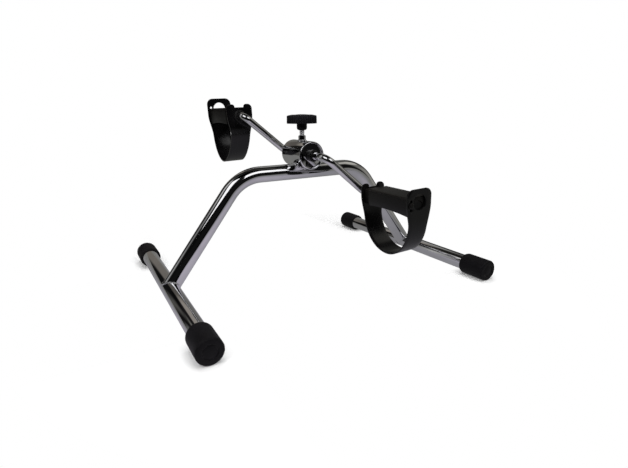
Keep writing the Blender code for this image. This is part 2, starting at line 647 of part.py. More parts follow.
def make_strap(depth, side, spindle, slack_notches):
    """Bend the foot strap, and punch its axle hole, ear notch, tab hole and adjusting holes."""
    first_hole = PEG_RISE + (ADJUST_HOLES - 1 - slack_notches) * ADJUST_PITCH
    rows = strap_rows(slack_notches, first_hole + TAB_MARGIN)
    mesh = bpy.data.meshes.new(f"{depth}_strap")
    shape = bmesh.new()
    bmesh.ops.create_grid(shape, x_segments=2, y_segments=len(rows) - 1, size=1.0)
    for vertex in shape.verts:
        out, height, half = rows[round((vertex.co.y + 1) / 2 * (len(rows) - 1))]
        vertex.co = (vertex.co.x * half, side * out, height)
    if side < 0:
        bmesh.ops.reverse_faces(shape, faces=shape.faces)
    shape.to_mesh(mesh)
    shape.free()
    strap = add_piece(bpy.data.objects.new(f"{depth}_strap", mesh), strap_plastic, spindle)
    wall = strap.modifiers.new("Wall", "SOLIDIFY")
    wall.thickness = STRAP_THICKNESS
    wall.offset = 0.0
    wall.use_even_offset = True

    tab_low = PEDAL_LENGTH - CUT_MARGIN
    tab_high = PEDAL_LENGTH + CUT_MARGIN
    punches = [("axle_hole", pedal_bush_radius + FIT_GAP, (0.0, 0.0), -CUT_MARGIN, CUT_MARGIN)]
    tab_hole_place = (0.0, first_hole - TAB_HOLE_DROP)
    punches.append(("tab_hole", TAB_HOLE_DIAMETER / 2, tab_hole_place, tab_low, tab_high))
    for k in range(ADJUST_HOLES):
        place = (-ADJUST_OFFSET, first_hole - k * ADJUST_PITCH)
        punches.append((f"adjust_hole_{k}", PEG_DIAMETER / 2 + FIT_GAP, place, tab_low, tab_high))
    for name, radius, (x, z), low, high in punches:
        punch = cylinder(f"{depth}_{name}", radius, low, high, TUBE_SIDES)
        add_cutter(punch, spindle).matrix_local = Matrix.Translation((x, 0.0, z)) @ along_y(side)
        boolean(strap, punch)
    notch_half = EAR_NOTCH_WIDTH / 2
    right_wall = [(notch_half, EAR_TOP - EAR_NOTCH_DEPTH)]
    for k in range(4):
        angle = math.pi / 2 * k / 3
        x = notch_half + EAR_ROUND * (1 - math.cos(angle))
        right_wall.append((x, EAR_TOP - EAR_ROUND * (1 - math.sin(angle))))
    right_wall.append((notch_half + EAR_ROUND, EAR_TOP + CUT_MARGIN))
    left_wall = [(-x, height) for x, height in reversed(right_wall)]
    notch = extruded(f"{depth}_ear_notch", right_wall + left_wall, 2 * CUT_MARGIN)
    add_cutter(notch, spindle).matrix_local = Matrix.Rotation(math.pi / 2, 4, "X")
    boolean(strap, notch)


make_frame()
axle_axis = axis_empty("axle_axis", (0.0, 0.0, hub_axis_height))
inner_bush_end = make_hub(axle_axis)
near_spindle = make_crank(axle_axis, inner_bush_end)
make_tension(axle_axis)
for depth_name, outward, throw, notches in (("near", -1, 1, 1), ("far", 1, -1, 0)):
    spindle_place = throw * near_spindle
    spindle_place.y = outward * pedal_inner - AXLE_SHIFT
    crank_end = axis_empty(f"{depth_name}_crank_end", spindle_place, axle_axis)
    pedal_axis = axis_empty(f"{depth_name}_pedal_axis", spindle_place, axle_axis, PEDAL_SWING)
    make_pedal_body(depth_name, outward, pedal_axis)
    make_pedal_fittings(depth_name, outward, pedal_axis, crank_end)
    make_strap(depth_name, outward, pedal_axis, notches)
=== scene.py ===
"""Looks of a pedal exerciser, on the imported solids: chromed tube frame, cranked axle and strapped pedals.

Metres, +X along the arch, +Y along the crank axle to the far pedal, +Z up, the floor at zero.
"""

import math

import bpy
from mathutils import Matrix, Vector


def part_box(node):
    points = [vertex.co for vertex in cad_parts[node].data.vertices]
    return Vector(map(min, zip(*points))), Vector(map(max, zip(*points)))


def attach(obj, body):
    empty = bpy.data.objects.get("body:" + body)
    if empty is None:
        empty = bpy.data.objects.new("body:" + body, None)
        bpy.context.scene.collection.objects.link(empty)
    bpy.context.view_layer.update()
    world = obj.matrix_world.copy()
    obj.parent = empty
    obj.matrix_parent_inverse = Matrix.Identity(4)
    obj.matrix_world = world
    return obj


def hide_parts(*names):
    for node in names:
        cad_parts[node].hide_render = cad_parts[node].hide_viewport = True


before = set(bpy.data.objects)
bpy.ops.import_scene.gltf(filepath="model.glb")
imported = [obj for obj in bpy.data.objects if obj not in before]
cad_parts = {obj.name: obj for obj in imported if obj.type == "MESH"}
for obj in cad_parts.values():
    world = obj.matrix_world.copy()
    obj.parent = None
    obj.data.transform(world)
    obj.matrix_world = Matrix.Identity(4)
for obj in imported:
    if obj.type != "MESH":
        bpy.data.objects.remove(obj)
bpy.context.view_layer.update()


# Base tubes. Two straight lengths of chromed steel tube, sawn square, lie across the ends of the arch.
# Their bores are open, and their ends are pushed into rubber caps.
def start_finish(name, colour, roughness, metallic):
    """Start a finish and give its material, node tree, shader and the piece's own coordinates."""
    material = bpy.data.materials.new(name)
    material.use_nodes = True
    tree = material.node_tree
    shader = tree.nodes["Principled BSDF"]
    shader.inputs["Base Color"].default_value = (*colour, 1.0)
    shader.inputs["Roughness"].default_value = roughness
    shader.inputs["Metallic"].default_value = metallic
    place = tree.nodes.new("ShaderNodeTexCoord").outputs["Object"]
    return material, tree, shader, place


def grain(tree, place, scale, detail, stretch=(1.0, 1.0, 1.0)):
    """Make a cloudy field of the given scale, stretched along an axis where its factor is small."""
    mapping = tree.nodes.new("ShaderNodeMapping")
    mapping.inputs["Scale"].default_value = stretch
    tree.links.new(place, mapping.inputs["Vector"])
    cloud = tree.nodes.new("ShaderNodeTexNoise")
    cloud.inputs["Scale"].default_value = scale
    cloud.inputs["Detail"].default_value = detail
    tree.links.new(mapping.outputs["Vector"], cloud.inputs["Vector"])
    return cloud.outputs["Fac"]


FIELD_LOW = 0.35
FIELD_HIGH = 0.65


def between(tree, field, low, high):
    """Spread the middle of a field over a range of values."""
    spread = tree.nodes.new("ShaderNodeMapRange")
    spread.inputs["From Min"].default_value = FIELD_LOW
    spread.inputs["From Max"].default_value = FIELD_HIGH
    spread.inputs["To Min"].default_value = low
    spread.inputs["To Max"].default_value = high
    tree.links.new(field, spread.inputs["Value"])
    return spread.outputs["Result"]


def tinted(tree, field, dark, pale):
    """Run a field from one colour to another."""
    ramp = tree.nodes.new("ShaderNodeValToRGB")
    ramp.color_ramp.elements[0].position = FIELD_LOW
    ramp.color_ramp.elements[0].color = (*dark, 1.0)
    ramp.color_ramp.elements[1].position = FIELD_HIGH
    ramp.color_ramp.elements[1].color = (*pale, 1.0)
    tree.links.new(field, ramp.inputs["Fac"])
    return ramp.outputs["Color"]


def roughen(tree, shader, layers):
    """Stack fields of (field, strength, depth) as fine relief."""
    below = None
    for field, strength, depth in layers:
        bump = tree.nodes.new("ShaderNodeBump")
        bump.inputs["Strength"].default_value = strength
        bump.inputs["Distance"].default_value = depth
        tree.links.new(field, bump.inputs["Height"])
        if below:
            tree.links.new(below, bump.inputs["Normal"])
        below = bump.outputs["Normal"]
    tree.links.new(below, shader.inputs["Normal"])


def chrome_plate(name, along=(1.0, 1.0, 1.0), haze=0.06):
    """Bright chrome on drawn tube, with a faint draw line along it, soft waves and finger marks."""
    material, tree, shader, place = start_finish(name, (0.80, 0.80, 0.82), haze, 1.0)
    smear = grain(tree, place, scale=26.0, detail=4.0)
    smeared = tinted(tree, smear, (0.74, 0.74, 0.76), (0.84, 0.84, 0.86))
    tree.links.new(smeared, shader.inputs["Base Color"])
    film = grain(tree, place, scale=60.0, detail=5.0)
    tree.links.new(between(tree, film, low=0.6 * haze, high=1.4 * haze), shader.inputs["Roughness"])
    wave = grain(tree, place, scale=14.0, detail=1.0)
    draw_line = grain(tree, place, scale=900.0, detail=2.0, stretch=along)
    roughen(tree, shader, [(wave, 0.05, 0.002), (draw_line, 0.02, 0.0001)])
    return material


def start_piece(name, primitive, **settings):
    """Deselect everything, then add a primitive and name it."""
    bpy.ops.object.select_all(action="DESELECT")
    primitive(**settings)
    piece = bpy.context.object
    piece.name = name
    return piece


def pull(step):
    """Extrude what is selected by a step."""
    bpy.ops.mesh.extrude_region_move(TRANSFORM_OT_translate={"value": step})


def leave_edit():
    """Turn all faces outwards and leave edit mode."""
    bpy.ops.mesh.select_all(action="SELECT")
    bpy.ops.mesh.normals_make_consistent(inside=False)
    bpy.ops.object.mode_set(mode="OBJECT")


def turn_on_lathe(name, rows, sides):
    """Turn a closed piece about Z through rows of (radius, height), flat at its first and last row."""
    radius, height = rows[0]
    piece = start_piece(name, bpy.ops.mesh.primitive_circle_add, vertices=sides, radius=radius,
                        fill_type="NGON", location=(0.0, 0.0, height))
    bpy.ops.object.mode_set(mode="EDIT")
    bpy.ops.mesh.select_all(action="SELECT")
    for next_radius, next_height in rows[1:]:
        pull((0.0, 0.0, next_height - height))
        ratio = next_radius / radius
        bpy.ops.transform.resize(value=(ratio, ratio, 1.0), center_override=(0.0, 0.0, next_height))
        radius, height = next_radius, next_height
    leave_edit()
    return piece


def take(piece):
    """Select one piece alone and make it the active one."""
    bpy.ops.object.select_all(action="DESELECT")
    piece.select_set(True)
    bpy.context.view_layer.objects.active = piece


def apply_modifier(piece, name, kind, **settings):
    """Add a modifier, set it and apply it."""
    modifier = piece.modifiers.new(name, kind)
    for setting, value in settings.items():
        setattr(modifier, setting, value)
    take(piece)
    bpy.ops.object.modifier_apply(modifier=modifier.name)


EDGE_ANGLE = math.radians(35.0)


def round_edges(piece, width, segments=2):
    """Take the sharp edges off a piece."""
    apply_modifier(piece, "Edges", "BEVEL", width=width, segments=segments, limit_method="ANGLE",
                   angle_limit=EDGE_ANGLE)


def settle(piece, place):
    """Move a piece to its place, keep that place in its mesh and shade it smooth up to its edges."""
    take(piece)
    piece.matrix_world = place @ piece.matrix_world
    bpy.ops.object.transform_apply(location=True, rotation=True, scale=True)
    bpy.ops.object.mode_set(mode="EDIT")
    leave_edit()
    bpy.ops.object.shade_smooth_by_angle(angle=EDGE_ANGLE)


def fit(piece, material, body, slot, *nodes):
    """Give a piece its finish and its body, and hide the solids that it stands for; the slot is not used."""
    piece.data.materials.clear()
    piece.data.materials.append(material)
    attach(piece, body)
    if nodes:
        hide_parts(*nodes)


TUBE_BORE_SHARE = 0.90
TUBE_BORE_DEPTH = 0.010
TUBE_SIDES = 96
SAWN_EDGE = 0.0003
DRAWN_ALONG_Y = (1.0, 0.02, 1.0)
along_y = Matrix.Rotation(-math.pi / 2, 4, "X")
base_chrome = chrome_plate("chrome_base_tube", DRAWN_ALONG_Y)
for tube_node in ("base_tube_left", "base_tube_right"):
    low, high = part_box(tube_node)
    tube_radius = (high.z - low.z) / 2
    tube_half = (high.y - low.y) / 2
    tube_middle = (low + high) / 2
    bore = TUBE_BORE_SHARE * tube_radius
    tube_rows = [(bore, TUBE_BORE_DEPTH - tube_half), (bore, -tube_half), (tube_radius, -tube_half)]
    tube_rows += [(tube_radius, tube_half), (bore, tube_half), (bore, tube_half - TUBE_BORE_DEPTH)]
    base_tube = turn_on_lathe(tube_node + "_bright", tube_rows, TUBE_SIDES)
    round_edges(base_tube, SAWN_EDGE)
    settle(base_tube, Matrix.Translation(tube_middle) @ along_y)
    fit(base_tube, base_chrome, "frame", "chrome", tube_node)


# Foot caps. Four moulded black rubber cups grip the tube ends and carry the exerciser on the floor.
# Each has a rounded mouth, a soft outer edge, and a ring groove round a low dome in its end.
# They are left out of what the chrome mirrors.
def rubber_finish(name):
    """Matt black rubber with a fine moulded grain, a little bloom and dulled patches."""
    material, tree, shader, place = start_finish(name, (0.0036, 0.0032, 0.0042), 0.60, 0.0)
    bloom = grain(tree, place, scale=45.0, detail=6.0)
    dusty = tinted(tree, bloom, (0.0026, 0.0023, 0.0031), (0.005, 0.0046, 0.0058))
    tree.links.new(dusty, shader.inputs["Base Color"])
    tree.links.new(between(tree, bloom, low=0.52, high=0.68), shader.inputs["Roughness"])
    shader.inputs["Specular IOR Level"].default_value = 0.28
    pores = grain(tree, place, scale=1400.0, detail=3.0)
    ripple = grain(tree, place, scale=90.0, detail=2.0)
    roughen(tree, shader, [(ripple, 0.10, 0.0006), (pores, 0.20, 0.0002)])
    return material


def quarter_turn(steps):
    """List (sine, one minus cosine) over a quarter turn, to round a corner with."""
    angles = [math.pi / 2 * k / steps for k in range(steps + 1)]
    return [(math.sin(angle), 1 - math.cos(angle)) for angle in angles]


CAP_LENGTH = 0.0465
CAP_BORE = 0.0130
CAP_LIP = 0.0158
CAP_LIP_EDGE = 0.0005
CAP_LIP_LENGTH = 0.0016
CAP_SHOULDER = 0.0035
CAP_EDGE = 0.0032
CAP_EDGE_START = 1.6 * CAP_EDGE
CAP_FLOOR = 0.005
GROOVE_OUTER = 0.0099
GROOVE_INNER = 0.0083
GROOVE_DEPTH = 0.002
GROOVE_EDGE = 0.0003
DOME_DROP = 0.001
CAP_DOME_STEPS = 8
CAP_SIDES = 80
cap_radius = base_height = tube_middle.z
cap_rows = [(CAP_BORE, CAP_LENGTH - CAP_FLOOR), (CAP_BORE, CAP_LIP_EDGE)]
cap_rows += [(CAP_BORE + CAP_LIP_EDGE, 0.0), (CAP_LIP - CAP_LIP_EDGE, 0.0), (CAP_LIP, CAP_LIP_EDGE)]
for sine, drop in quarter_turn(steps=8):
    swell = CAP_LIP + (cap_radius - CAP_LIP) * sine
    cap_rows.append((swell, CAP_LIP_LENGTH + CAP_SHOULDER * drop))
cap_rows.append((cap_radius, CAP_LENGTH - CAP_EDGE_START))
for sine, drop in quarter_turn(steps=10)[1:]:
    cap_rows.append((cap_radius - CAP_EDGE * drop, CAP_LENGTH - CAP_EDGE * (1 - sine)))
groove_floor = CAP_LENGTH - GROOVE_DEPTH
cap_rows += [(GROOVE_OUTER + GROOVE_EDGE, CAP_LENGTH), (GROOVE_OUTER, CAP_LENGTH - GROOVE_EDGE)]
cap_rows += [(GROOVE_OUTER - GROOVE_EDGE, groove_floor), (GROOVE_INNER + GROOVE_EDGE, groove_floor)]
cap_rows.append((GROOVE_INNER, CAP_LENGTH - DOME_DROP))
for k in range(1, CAP_DOME_STEPS):
    share = 1 - k / CAP_DOME_STEPS
    cap_rows.append((GROOVE_INNER * share, CAP_LENGTH - DOME_DROP * share * share))
cap_pattern = turn_on_lathe("cap_pattern", cap_rows, CAP_SIDES)
cap_rubber = rubber_finish("foot_cap_rubber")
for cap_node in ("foot_cap_left_near", "foot_cap_left_far", "foot_cap_right_near", "foot_cap_right_far"):
    low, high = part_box(cap_node)
    outward = 1 if low.y > 0 else -1
    mouth = low.y if outward > 0 else high.y
    cap = cap_pattern.copy()
    cap.data = cap_pattern.data.copy()
    cap.name = cap_node + "_rubber"
    bpy.context.scene.collection.objects.link(cap)
    cap_place = Matrix.Translation(((low.x + high.x) / 2, mouth, base_height))
    settle(cap, cap_place @ Matrix.Rotation(-outward * math.pi / 2, 4, "X"))
    cap.visible_glossy = False
    fit(cap, cap_rubber, "frame", "foot_rubber", cap_node)
bpy.data.objects.remove(cap_pattern)


# Arch tube. One chromed tube with two drawn bends; its legs lean in and are coped on to the base tubes.
# It is bent from the same stock, and the hub is let into the top of its straight middle.
def run_bent_bar(name, corners, radii, radius, sides, bend_steps):
    """Draw a round bar along straight runs, and spin it round each corner on its own bend radius."""
    way = (corners[1] - corners[0]).normalized()
    turn = Vector((0.0, 0.0, 1.0)).rotation_difference(way)
    bar = start_piece(name, bpy.ops.mesh.primitive_circle_add, vertices=sides, radius=radius,
                      fill_type="NGON", location=corners[0], rotation=turn.to_euler())
    bpy.ops.object.mode_set(mode="EDIT")
    bpy.ops.mesh.select_all(action="SELECT")
    reached = corners[0]
    for before, corner, after, bend in zip(corners, corners[1:], corners[2:], radii):
        way_in = (corner - before).normalized()
        way_out = (after - corner).normalized()
        bend_angle = way_in.angle(way_out)
        set_back = bend * math.tan(bend_angle / 2)
        start = corner - set_back * way_in
        pull(start - reached)
        inward = (way_out - way_in * way_in.dot(way_out)).normalized()
        bpy.ops.mesh.spin(steps=bend_steps, angle=-bend_angle, center=start + bend * inward,
                          axis=way_in.cross(inward))
        reached = corner + set_back * way_out
    pull(corners[-1] - reached)
    leave_edit()
    return bar


def cut(piece, radius, half, place, sides=TUBE_SIDES):
    """Cut a round hole or cope, a cylinder about the place's own Z, out of a piece."""
    tool = start_piece("cutter", bpy.ops.mesh.primitive_cylinder_add, vertices=sides, radius=radius,
                       depth=2 * half)
    tool.matrix_world = place
    apply_modifier(piece, "Cut", "BOOLEAN", operation="DIFFERENCE", solver="EXACT", object=tool)
    bpy.data.objects.remove(tool)


ARCH_CORNER = 0.1095
ARCH_HEIGHT = 0.17499
ARCH_BEND = 0.066
ARCH_BEND_STEPS = 40
COPE_HALF = 0.03
DRAWN_ALONG_X = (0.02, 1.0, 1.0)
low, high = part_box("hub_shell")
hub_middle = (low + high) / 2
hub_radius = (high.z - low.z) / 2
hub_half = (high.y - low.y) / 2
base_half = tube_middle.x
left_foot = Vector((-base_half, 0.0, base_height))
left_corner = Vector((-ARCH_CORNER, 0.0, ARCH_HEIGHT))
right_corner = Vector((ARCH_CORNER, 0.0, ARCH_HEIGHT))
right_foot = Vector((base_half, 0.0, base_height))
arch_line = [left_foot, left_corner, right_corner, right_foot]
arch_bends = [ARCH_BEND, ARCH_BEND]
arch = run_bent_bar("arch_tube_bright", arch_line, arch_bends, tube_radius, TUBE_SIDES, ARCH_BEND_STEPS)
for foot in (left_foot, right_foot):
    cut(arch, tube_radius, COPE_HALF, Matrix.Translation(foot) @ along_y)
cut(arch, hub_radius, hub_half, Matrix.Translation(hub_middle) @ along_y)
settle(arch, Matrix.Identity(4))
fit(arch, chrome_plate("chrome_arch", DRAWN_ALONG_X), "frame", "chrome", "arch_tube")


# Weld beads. The arch is welded to the base tubes and the hub to the arch before they are plated.
# Each bead is a lumpy fillet along the line where the two tubes meet.
BEAD_SECTIONS = 14


def lay_bead(name, centres, radius, lumps, lump_depth):
    """Bend a ring on to a closed line of centres, and give it the ripple of a weld."""
    count = len(centres)
    bead = start_piece(name, bpy.ops.mesh.primitive_torus_add, major_segments=count,
                       minor_segments=BEAD_SECTIONS)
    middle = sum(centres, Vector()) / count
    for k in range(count):
        way = (centres[(k + 1) % count] - centres[k - 1]).normalized()
        across = (centres[k] - middle).cross(way).normalized()
        out = way.cross(across)
        size = radius * (1 + lump_depth * math.sin(2 * math.pi * lumps * k / count) ** 2)
        for j in range(BEAD_SECTIONS):
            angle = 2 * math.pi * j / BEAD_SECTIONS
            spot = centres[k] + size * (math.cos(angle) * out + math.sin(angle) * across)
            bead.data.vertices[k * BEAD_SECTIONS + j].co = spot
    return bead


BEAD_STEPS = 160
FOOT_BEAD = 0.0011
HUB_BEAD = 0.0016
WELD_HAZE = 0.24
bead_angles = [2 * math.pi * k / BEAD_STEPS for k in range(BEAD_STEPS)]
weld_chrome = chrome_plate("chrome_weld", haze=WELD_HAZE)
for foot, corner, side_name in ((left_foot, left_corner, "left"), (right_foot, right_corner, "right")):
    leg = (corner - foot).normalized()
    level = Vector((0.0, 1.0, 0.0))
    line = []
    for angle in bead_angles:
        rim = math.cos(angle) * level + math.sin(angle) * leg.cross(level) + abs(math.cos(angle)) * leg
        line.append(foot + tube_radius * rim)
    bead = lay_bead(f"foot_weld_{side_name}", line, FOOT_BEAD, lumps=40, lump_depth=0.18)
    settle(bead, Matrix.Identity(4))
    fit(bead, weld_chrome, "frame", "chrome")
hub_rise = hub_middle.z - ARCH_HEIGHT
saddle_half = math.sqrt(tube_radius ** 2 - (hub_rise - hub_radius) ** 2)
line = []
for angle in bead_angles:
    y = saddle_half * math.sin(angle)
    drop = hub_rise - math.sqrt(tube_radius ** 2 - y * y)
    x = math.copysign(math.sqrt(max(hub_radius ** 2 - drop * drop, 0.0)), math.cos(angle))
    line.append(Vector((x, y, hub_middle.z - drop)))
saddle = lay_bead("hub_weld", line, HUB_BEAD, lumps=14, lump_depth=0.35)
settle(saddle, Matrix.Identity(4))
fit(saddle, weld_chrome, "frame", "chrome")


# Hub shell and discs. A short chromed pipe stands across the arch and holds the axle.
# Slightly domed, polished discs are pressed a little way into its ends and carry the bushes.
HUB_WALL = 0.0022
HUB_EDGE = 0.0018
RECESS_DEPTH = 0.0038
HUB_SIDES = 128
hub_bore = hub_radius - HUB_WALL
hub_edge_rows = []
for sine, drop in quarter_turn(steps=5):
    hub_edge_rows.append((hub_radius - HUB_EDGE * (1 - sine), HUB_EDGE * drop))
hub_rows = [(hub_bore, RECESS_DEPTH - hub_half), (hub_bore, -hub_half)]
hub_rows += [(radius, depth - hub_half) for radius, depth in hub_edge_rows]
hub_rows += [(radius, hub_half - depth) for radius, depth in reversed(hub_edge_rows)]
hub_rows += [(hub_bore, hub_half), (hub_bore, hub_half - RECESS_DEPTH)]
hub = turn_on_lathe("hub_shell_bright", hub_rows, HUB_SIDES)
round_edges(hub, SAWN_EDGE)
settle(hub, Matrix.Translation(hub_middle) @ along_y)
fit(hub, chrome_plate("chrome_hub", DRAWN_ALONG_Y), "frame", "chrome", "hub_shell")

DISC_BORE = 0.0085
DISC_EDGE = 0.0006
DISC_DOME = 0.0012
DISC_DOME_STEPS = 12
disc_chrome = chrome_plate("chrome_disc")
for disc_node, outward in (("hub_disc_near", -1), ("hub_disc_far", 1)):
    low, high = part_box(disc_node)
    disc_radius = (high.x - low.x) / 2
    disc_face = max(abs(low.y), abs(high.y))
    disc_back = min(abs(low.y), abs(high.y))
    disc_rows = [(DISC_BORE, disc_back), (disc_radius, disc_back)]
    disc_rows.append((disc_radius, disc_face - DISC_DOME - DISC_EDGE))
    dome_radius = disc_radius - DISC_EDGE
    for k in range(DISC_DOME_STEPS + 1):
        radius = dome_radius + (DISC_BORE - dome_radius) * k / DISC_DOME_STEPS
        disc_rows.append((radius, disc_face - DISC_DOME * (radius / dome_radius) ** 2))
    disc = turn_on_lathe(disc_node + "_bright", disc_rows, HUB_SIDES)
    facing_out = Matrix.Rotation(-outward * math.pi / 2, 4, "X")
    settle(disc, Matrix.Translation((0.0, 0.0, hub_middle.z)) @ facing_out)
    fit(disc, disc_chrome, "frame", "chrome", disc_node)


# Axle bushes. Two black nylon bearings, turned from bar and pressed into the discs, in which the axle runs.
# Their heads stand out as short sleeves round it, with a small chamfer at the mouth.
def nylon_finish(name, dark, pale):
    """Dull nylon with turning marks and a slightly waxy sheen."""
    material, tree, shader, place = start_finish(name, pale, 0.45, 0.0)
    cloud = grain(tree, place, scale=80.0, detail=4.0)
    tree.links.new(tinted(tree, cloud, dark, pale), shader.inputs["Base Color"])
    tree.links.new(between(tree, cloud, low=0.36, high=0.55), shader.inputs["Roughness"])
    marks = grain(tree, place, scale=1600.0, detail=2.0)
    roughen(tree, shader, [(marks, 0.12, 0.0001)])
    return material


AXLE_BORE = 0.0063
BUSH_RADIUS = 0.0081
BUSH_MOUTH = 0.004
BUSH_EDGE = 0.0004
BUSH_HEAD = 0.007
BUSH_SIDES = 72
black_nylon = nylon_finish("nylon_black", (0.005, 0.005, 0.005), (0.010, 0.0095, 0.0095))
for bush_node, outward in (("axle_bush_near", -1), ("axle_bush_far", 1)):
    low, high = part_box(bush_node)
    head_radius = (high.x - low.x) / 2
    top = max(abs(low.y), abs(high.y))
    back = min(abs(low.y), abs(high.y))
    bush_rows = [(AXLE_BORE, top - BUSH_MOUTH), (AXLE_BORE, top - BUSH_EDGE), (AXLE_BORE + BUSH_EDGE, top)]
    bush_rows += [(head_radius - BUSH_EDGE, top), (head_radius, top - BUSH_EDGE)]
    bush_rows += [(head_radius, top - BUSH_HEAD), (BUSH_RADIUS, top - BUSH_HEAD), (BUSH_RADIUS, back)]
    bush = turn_on_lathe(bush_node + "_nylon", bush_rows, BUSH_SIDES)
    facing_out = Matrix.Rotation(-outward * math.pi / 2, 4, "X")
    settle(bush, Matrix.Translation((0.0, 0.0, hub_middle.z)) @ facing_out)
    fit(bush, black_nylon, "frame", "bush_nylon", bush_node)


# Tension boss. A small tapped steel bush is welded on top of the hub and plated with it.
# Its foot is coped to the pipe, and its top edge is chamfered.
BOSS_BORE = 0.0042
BOSS_BORE_DEPTH = 0.002
BOSS_BORE_EDGE = 0.0004
BOSS_EDGE = 0.0008
BOSS_SKIRT = 0.001
BOSS_SIDES = 72
BOSS_BEAD = 0.0014
low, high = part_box("tension_boss")
boss_radius = (high.x - low.x) / 2
boss_top = high.z
boss_rows = [(BOSS_BORE, boss_top - BOSS_BORE_DEPTH), (BOSS_BORE, boss_top - BOSS_BORE_EDGE)]
boss_rows += [(BOSS_BORE + BOSS_BORE_EDGE, boss_top), (boss_radius - BOSS_EDGE, boss_top)]
boss_rows += [(boss_radius, boss_top - BOSS_EDGE), (boss_radius, low.z - BOSS_SKIRT)]
boss = turn_on_lathe("tension_boss_bright", boss_rows, BOSS_SIDES)
cut(boss, hub_radius, hub_half, Matrix.Translation(hub_middle) @ along_y, HUB_SIDES)
settle(boss, Matrix.Identity(4))
fit(boss, chrome_plate("chrome_boss"), "frame", "chrome", "tension_boss")
line = []
for angle in bead_angles:
    x = boss_radius * math.cos(angle)
    line.append(Vector((x, boss_radius * math.sin(angle), hub_middle.z + math.sqrt(hub_radius ** 2 - x * x))))
ring = lay_bead("boss_weld", line, BOSS_BEAD, lumps=18, lump_depth=0.2)
settle(ring, Matrix.Identity(4))
fit(ring, weld_chrome, "frame", "chrome")


# Crank rod. One chromed bar is bent four times to make the axle, both arms and both pedal spindles.
# The arms lean in a little towards the spindles, whose ends are chamfered inside the pedals.
ROD_RADIUS = 0.006
CRANK_RADIUS = 0.097
CRANK_ANGLE = math.radians(38.5)
CRANK_MIDDLE = -0.008
AXLE_CORNER = 0.0665
ARM_CORNER = 0.0635
SPINDLE_TIP = 0.1798
AXLE_BEND = 0.015
SPINDLE_BEND = 0.010
ROD_SIDES = 72
ROD_BEND_STEPS = 32
ROD_CHAMFER = 0.0008
axle_point = Vector((0.0, CRANK_MIDDLE, hub_middle.z))
throw = Vector((CRANK_RADIUS * math.cos(CRANK_ANGLE), 0.0, -CRANK_RADIUS * math.sin(CRANK_ANGLE)))
out = Vector((0.0, 1.0, 0.0))
crank_line = [axle_point + throw - SPINDLE_TIP * out, axle_point + throw - ARM_CORNER * out]
crank_line += [axle_point - AXLE_CORNER * out, axle_point + AXLE_CORNER * out]
crank_line += [axle_point - throw + ARM_CORNER * out, axle_point - throw + SPINDLE_TIP * out]
crank_bends = [SPINDLE_BEND, AXLE_BEND, AXLE_BEND, SPINDLE_BEND]
crank = run_bent_bar("crank_rod_bright", crank_line, crank_bends, ROD_RADIUS, ROD_SIDES, ROD_BEND_STEPS)
round_edges(crank, ROD_CHAMFER)
settle(crank, Matrix.Identity(4))
fit(crank, chrome_plate("chrome_crank"), "crank", "chrome", "crank_rod")


# Pedal bodies. Black moulded beams, creased along both sides and hollowed underneath, run on the spindles.
# A narrower block joins each to its strap plate, and a mushroom peg on the end holds the strap's tab.
def moulded_finish(name, dark, pale, smooth, rough):
    """Moulded black plastic with a spark-eroded grain, faint flow marks and rubbed patches."""
    material, tree, shader, place = start_finish(name, pale, rough, 0.0)
    shader.inputs["Specular IOR Level"].default_value = 0.27
    flow = grain(tree, place, scale=30.0, detail=5.0, stretch=(1.0, 0.35, 1.0))
    tree.links.new(tinted(tree, flow, dark, pale), shader.inputs["Base Color"])
    tree.links.new(between(tree, flow, low=smooth, high=rough), shader.inputs["Roughness"])
    spark = grain(tree, place, scale=1900.0, detail=3.0)
    ripple = grain(tree, place, scale=55.0, detail=2.0)
    roughen(tree, shader, [(ripple, 0.05, 0.0008), (spark, 0.14, 0.00015)])
    return material


def draw_outline(name, outline, start):
    """Lay a flat face on an outline of (x, height) at a distance out, and go on in edit mode."""
    face = start_piece(name, bpy.ops.mesh.primitive_circle_add, vertices=len(outline), fill_type="NGON")
    for vertex, (x, height) in zip(face.data.vertices, outline):
        vertex.co = (x, start, height)
    bpy.ops.object.mode_set(mode="EDIT")
    bpy.ops.mesh.select_all(action="SELECT")
    return face


PEDAL_LENGTH = 0.1022
PEDAL_SWING = math.radians(-2.0)
PEDAL_INNER = 0.0835
BODY_START = 0.0014
BEAM_START = 0.0139
BODY_END = 0.1008
BODY_TOP = 0.014
BODY_LOW = -0.0133
BODY_HALF = 0.0195
BODY_SHOULDER = 0.005
BODY_CREASE = (0.0193, -0.0015)
BODY_FOOT_HALF = 0.0178
BODY_EDGE = 0.0014
NECK_INSET = 0.0021
BODY_BORE = 0.0076
PLUG_BORE = 0.0081
PLUG_RECESS = 0.0072
SAG = 0.0028
SAG_LAND = 0.004
SAG_CUT_HALF = 0.03
SAG_SIDES = 640
PEG_OFFSET = -0.0154
PEG_RISE = 0.0029
PEG_RADIUS = 0.0019
PEG_HEAD = 0.0044
PEG_ROOT = 0.004
PEG_SHANK = 0.0014
PEG_HEAD_EDGE = 0.0002
PEG_SIDES = 32
right_side = [(BODY_FOOT_HALF, BODY_LOW), BODY_CREASE]
for sine, drop in quarter_turn(steps=8):
    right_side.append((BODY_HALF - BODY_SHOULDER * drop, BODY_TOP - BODY_SHOULDER * (1 - sine)))
beam_outline = right_side + [(-x, height) for x, height in reversed(right_side)]
body_middle = (BODY_TOP + BODY_LOW) / 2
neck_x = 1 - NECK_INSET / BODY_HALF
neck_z = 1 - 2 * NECK_INSET / (BODY_TOP - BODY_LOW)
neck_outline = [(x * neck_x, body_middle + (height - body_middle) * neck_z) for x, height in beam_outline]
head_low = PEDAL_LENGTH + PEG_SHANK
peg_rows = [(PEG_RADIUS, BODY_END - PEG_ROOT), (PEG_RADIUS, head_low), (PEG_HEAD - PEG_HEAD_EDGE, head_low)]
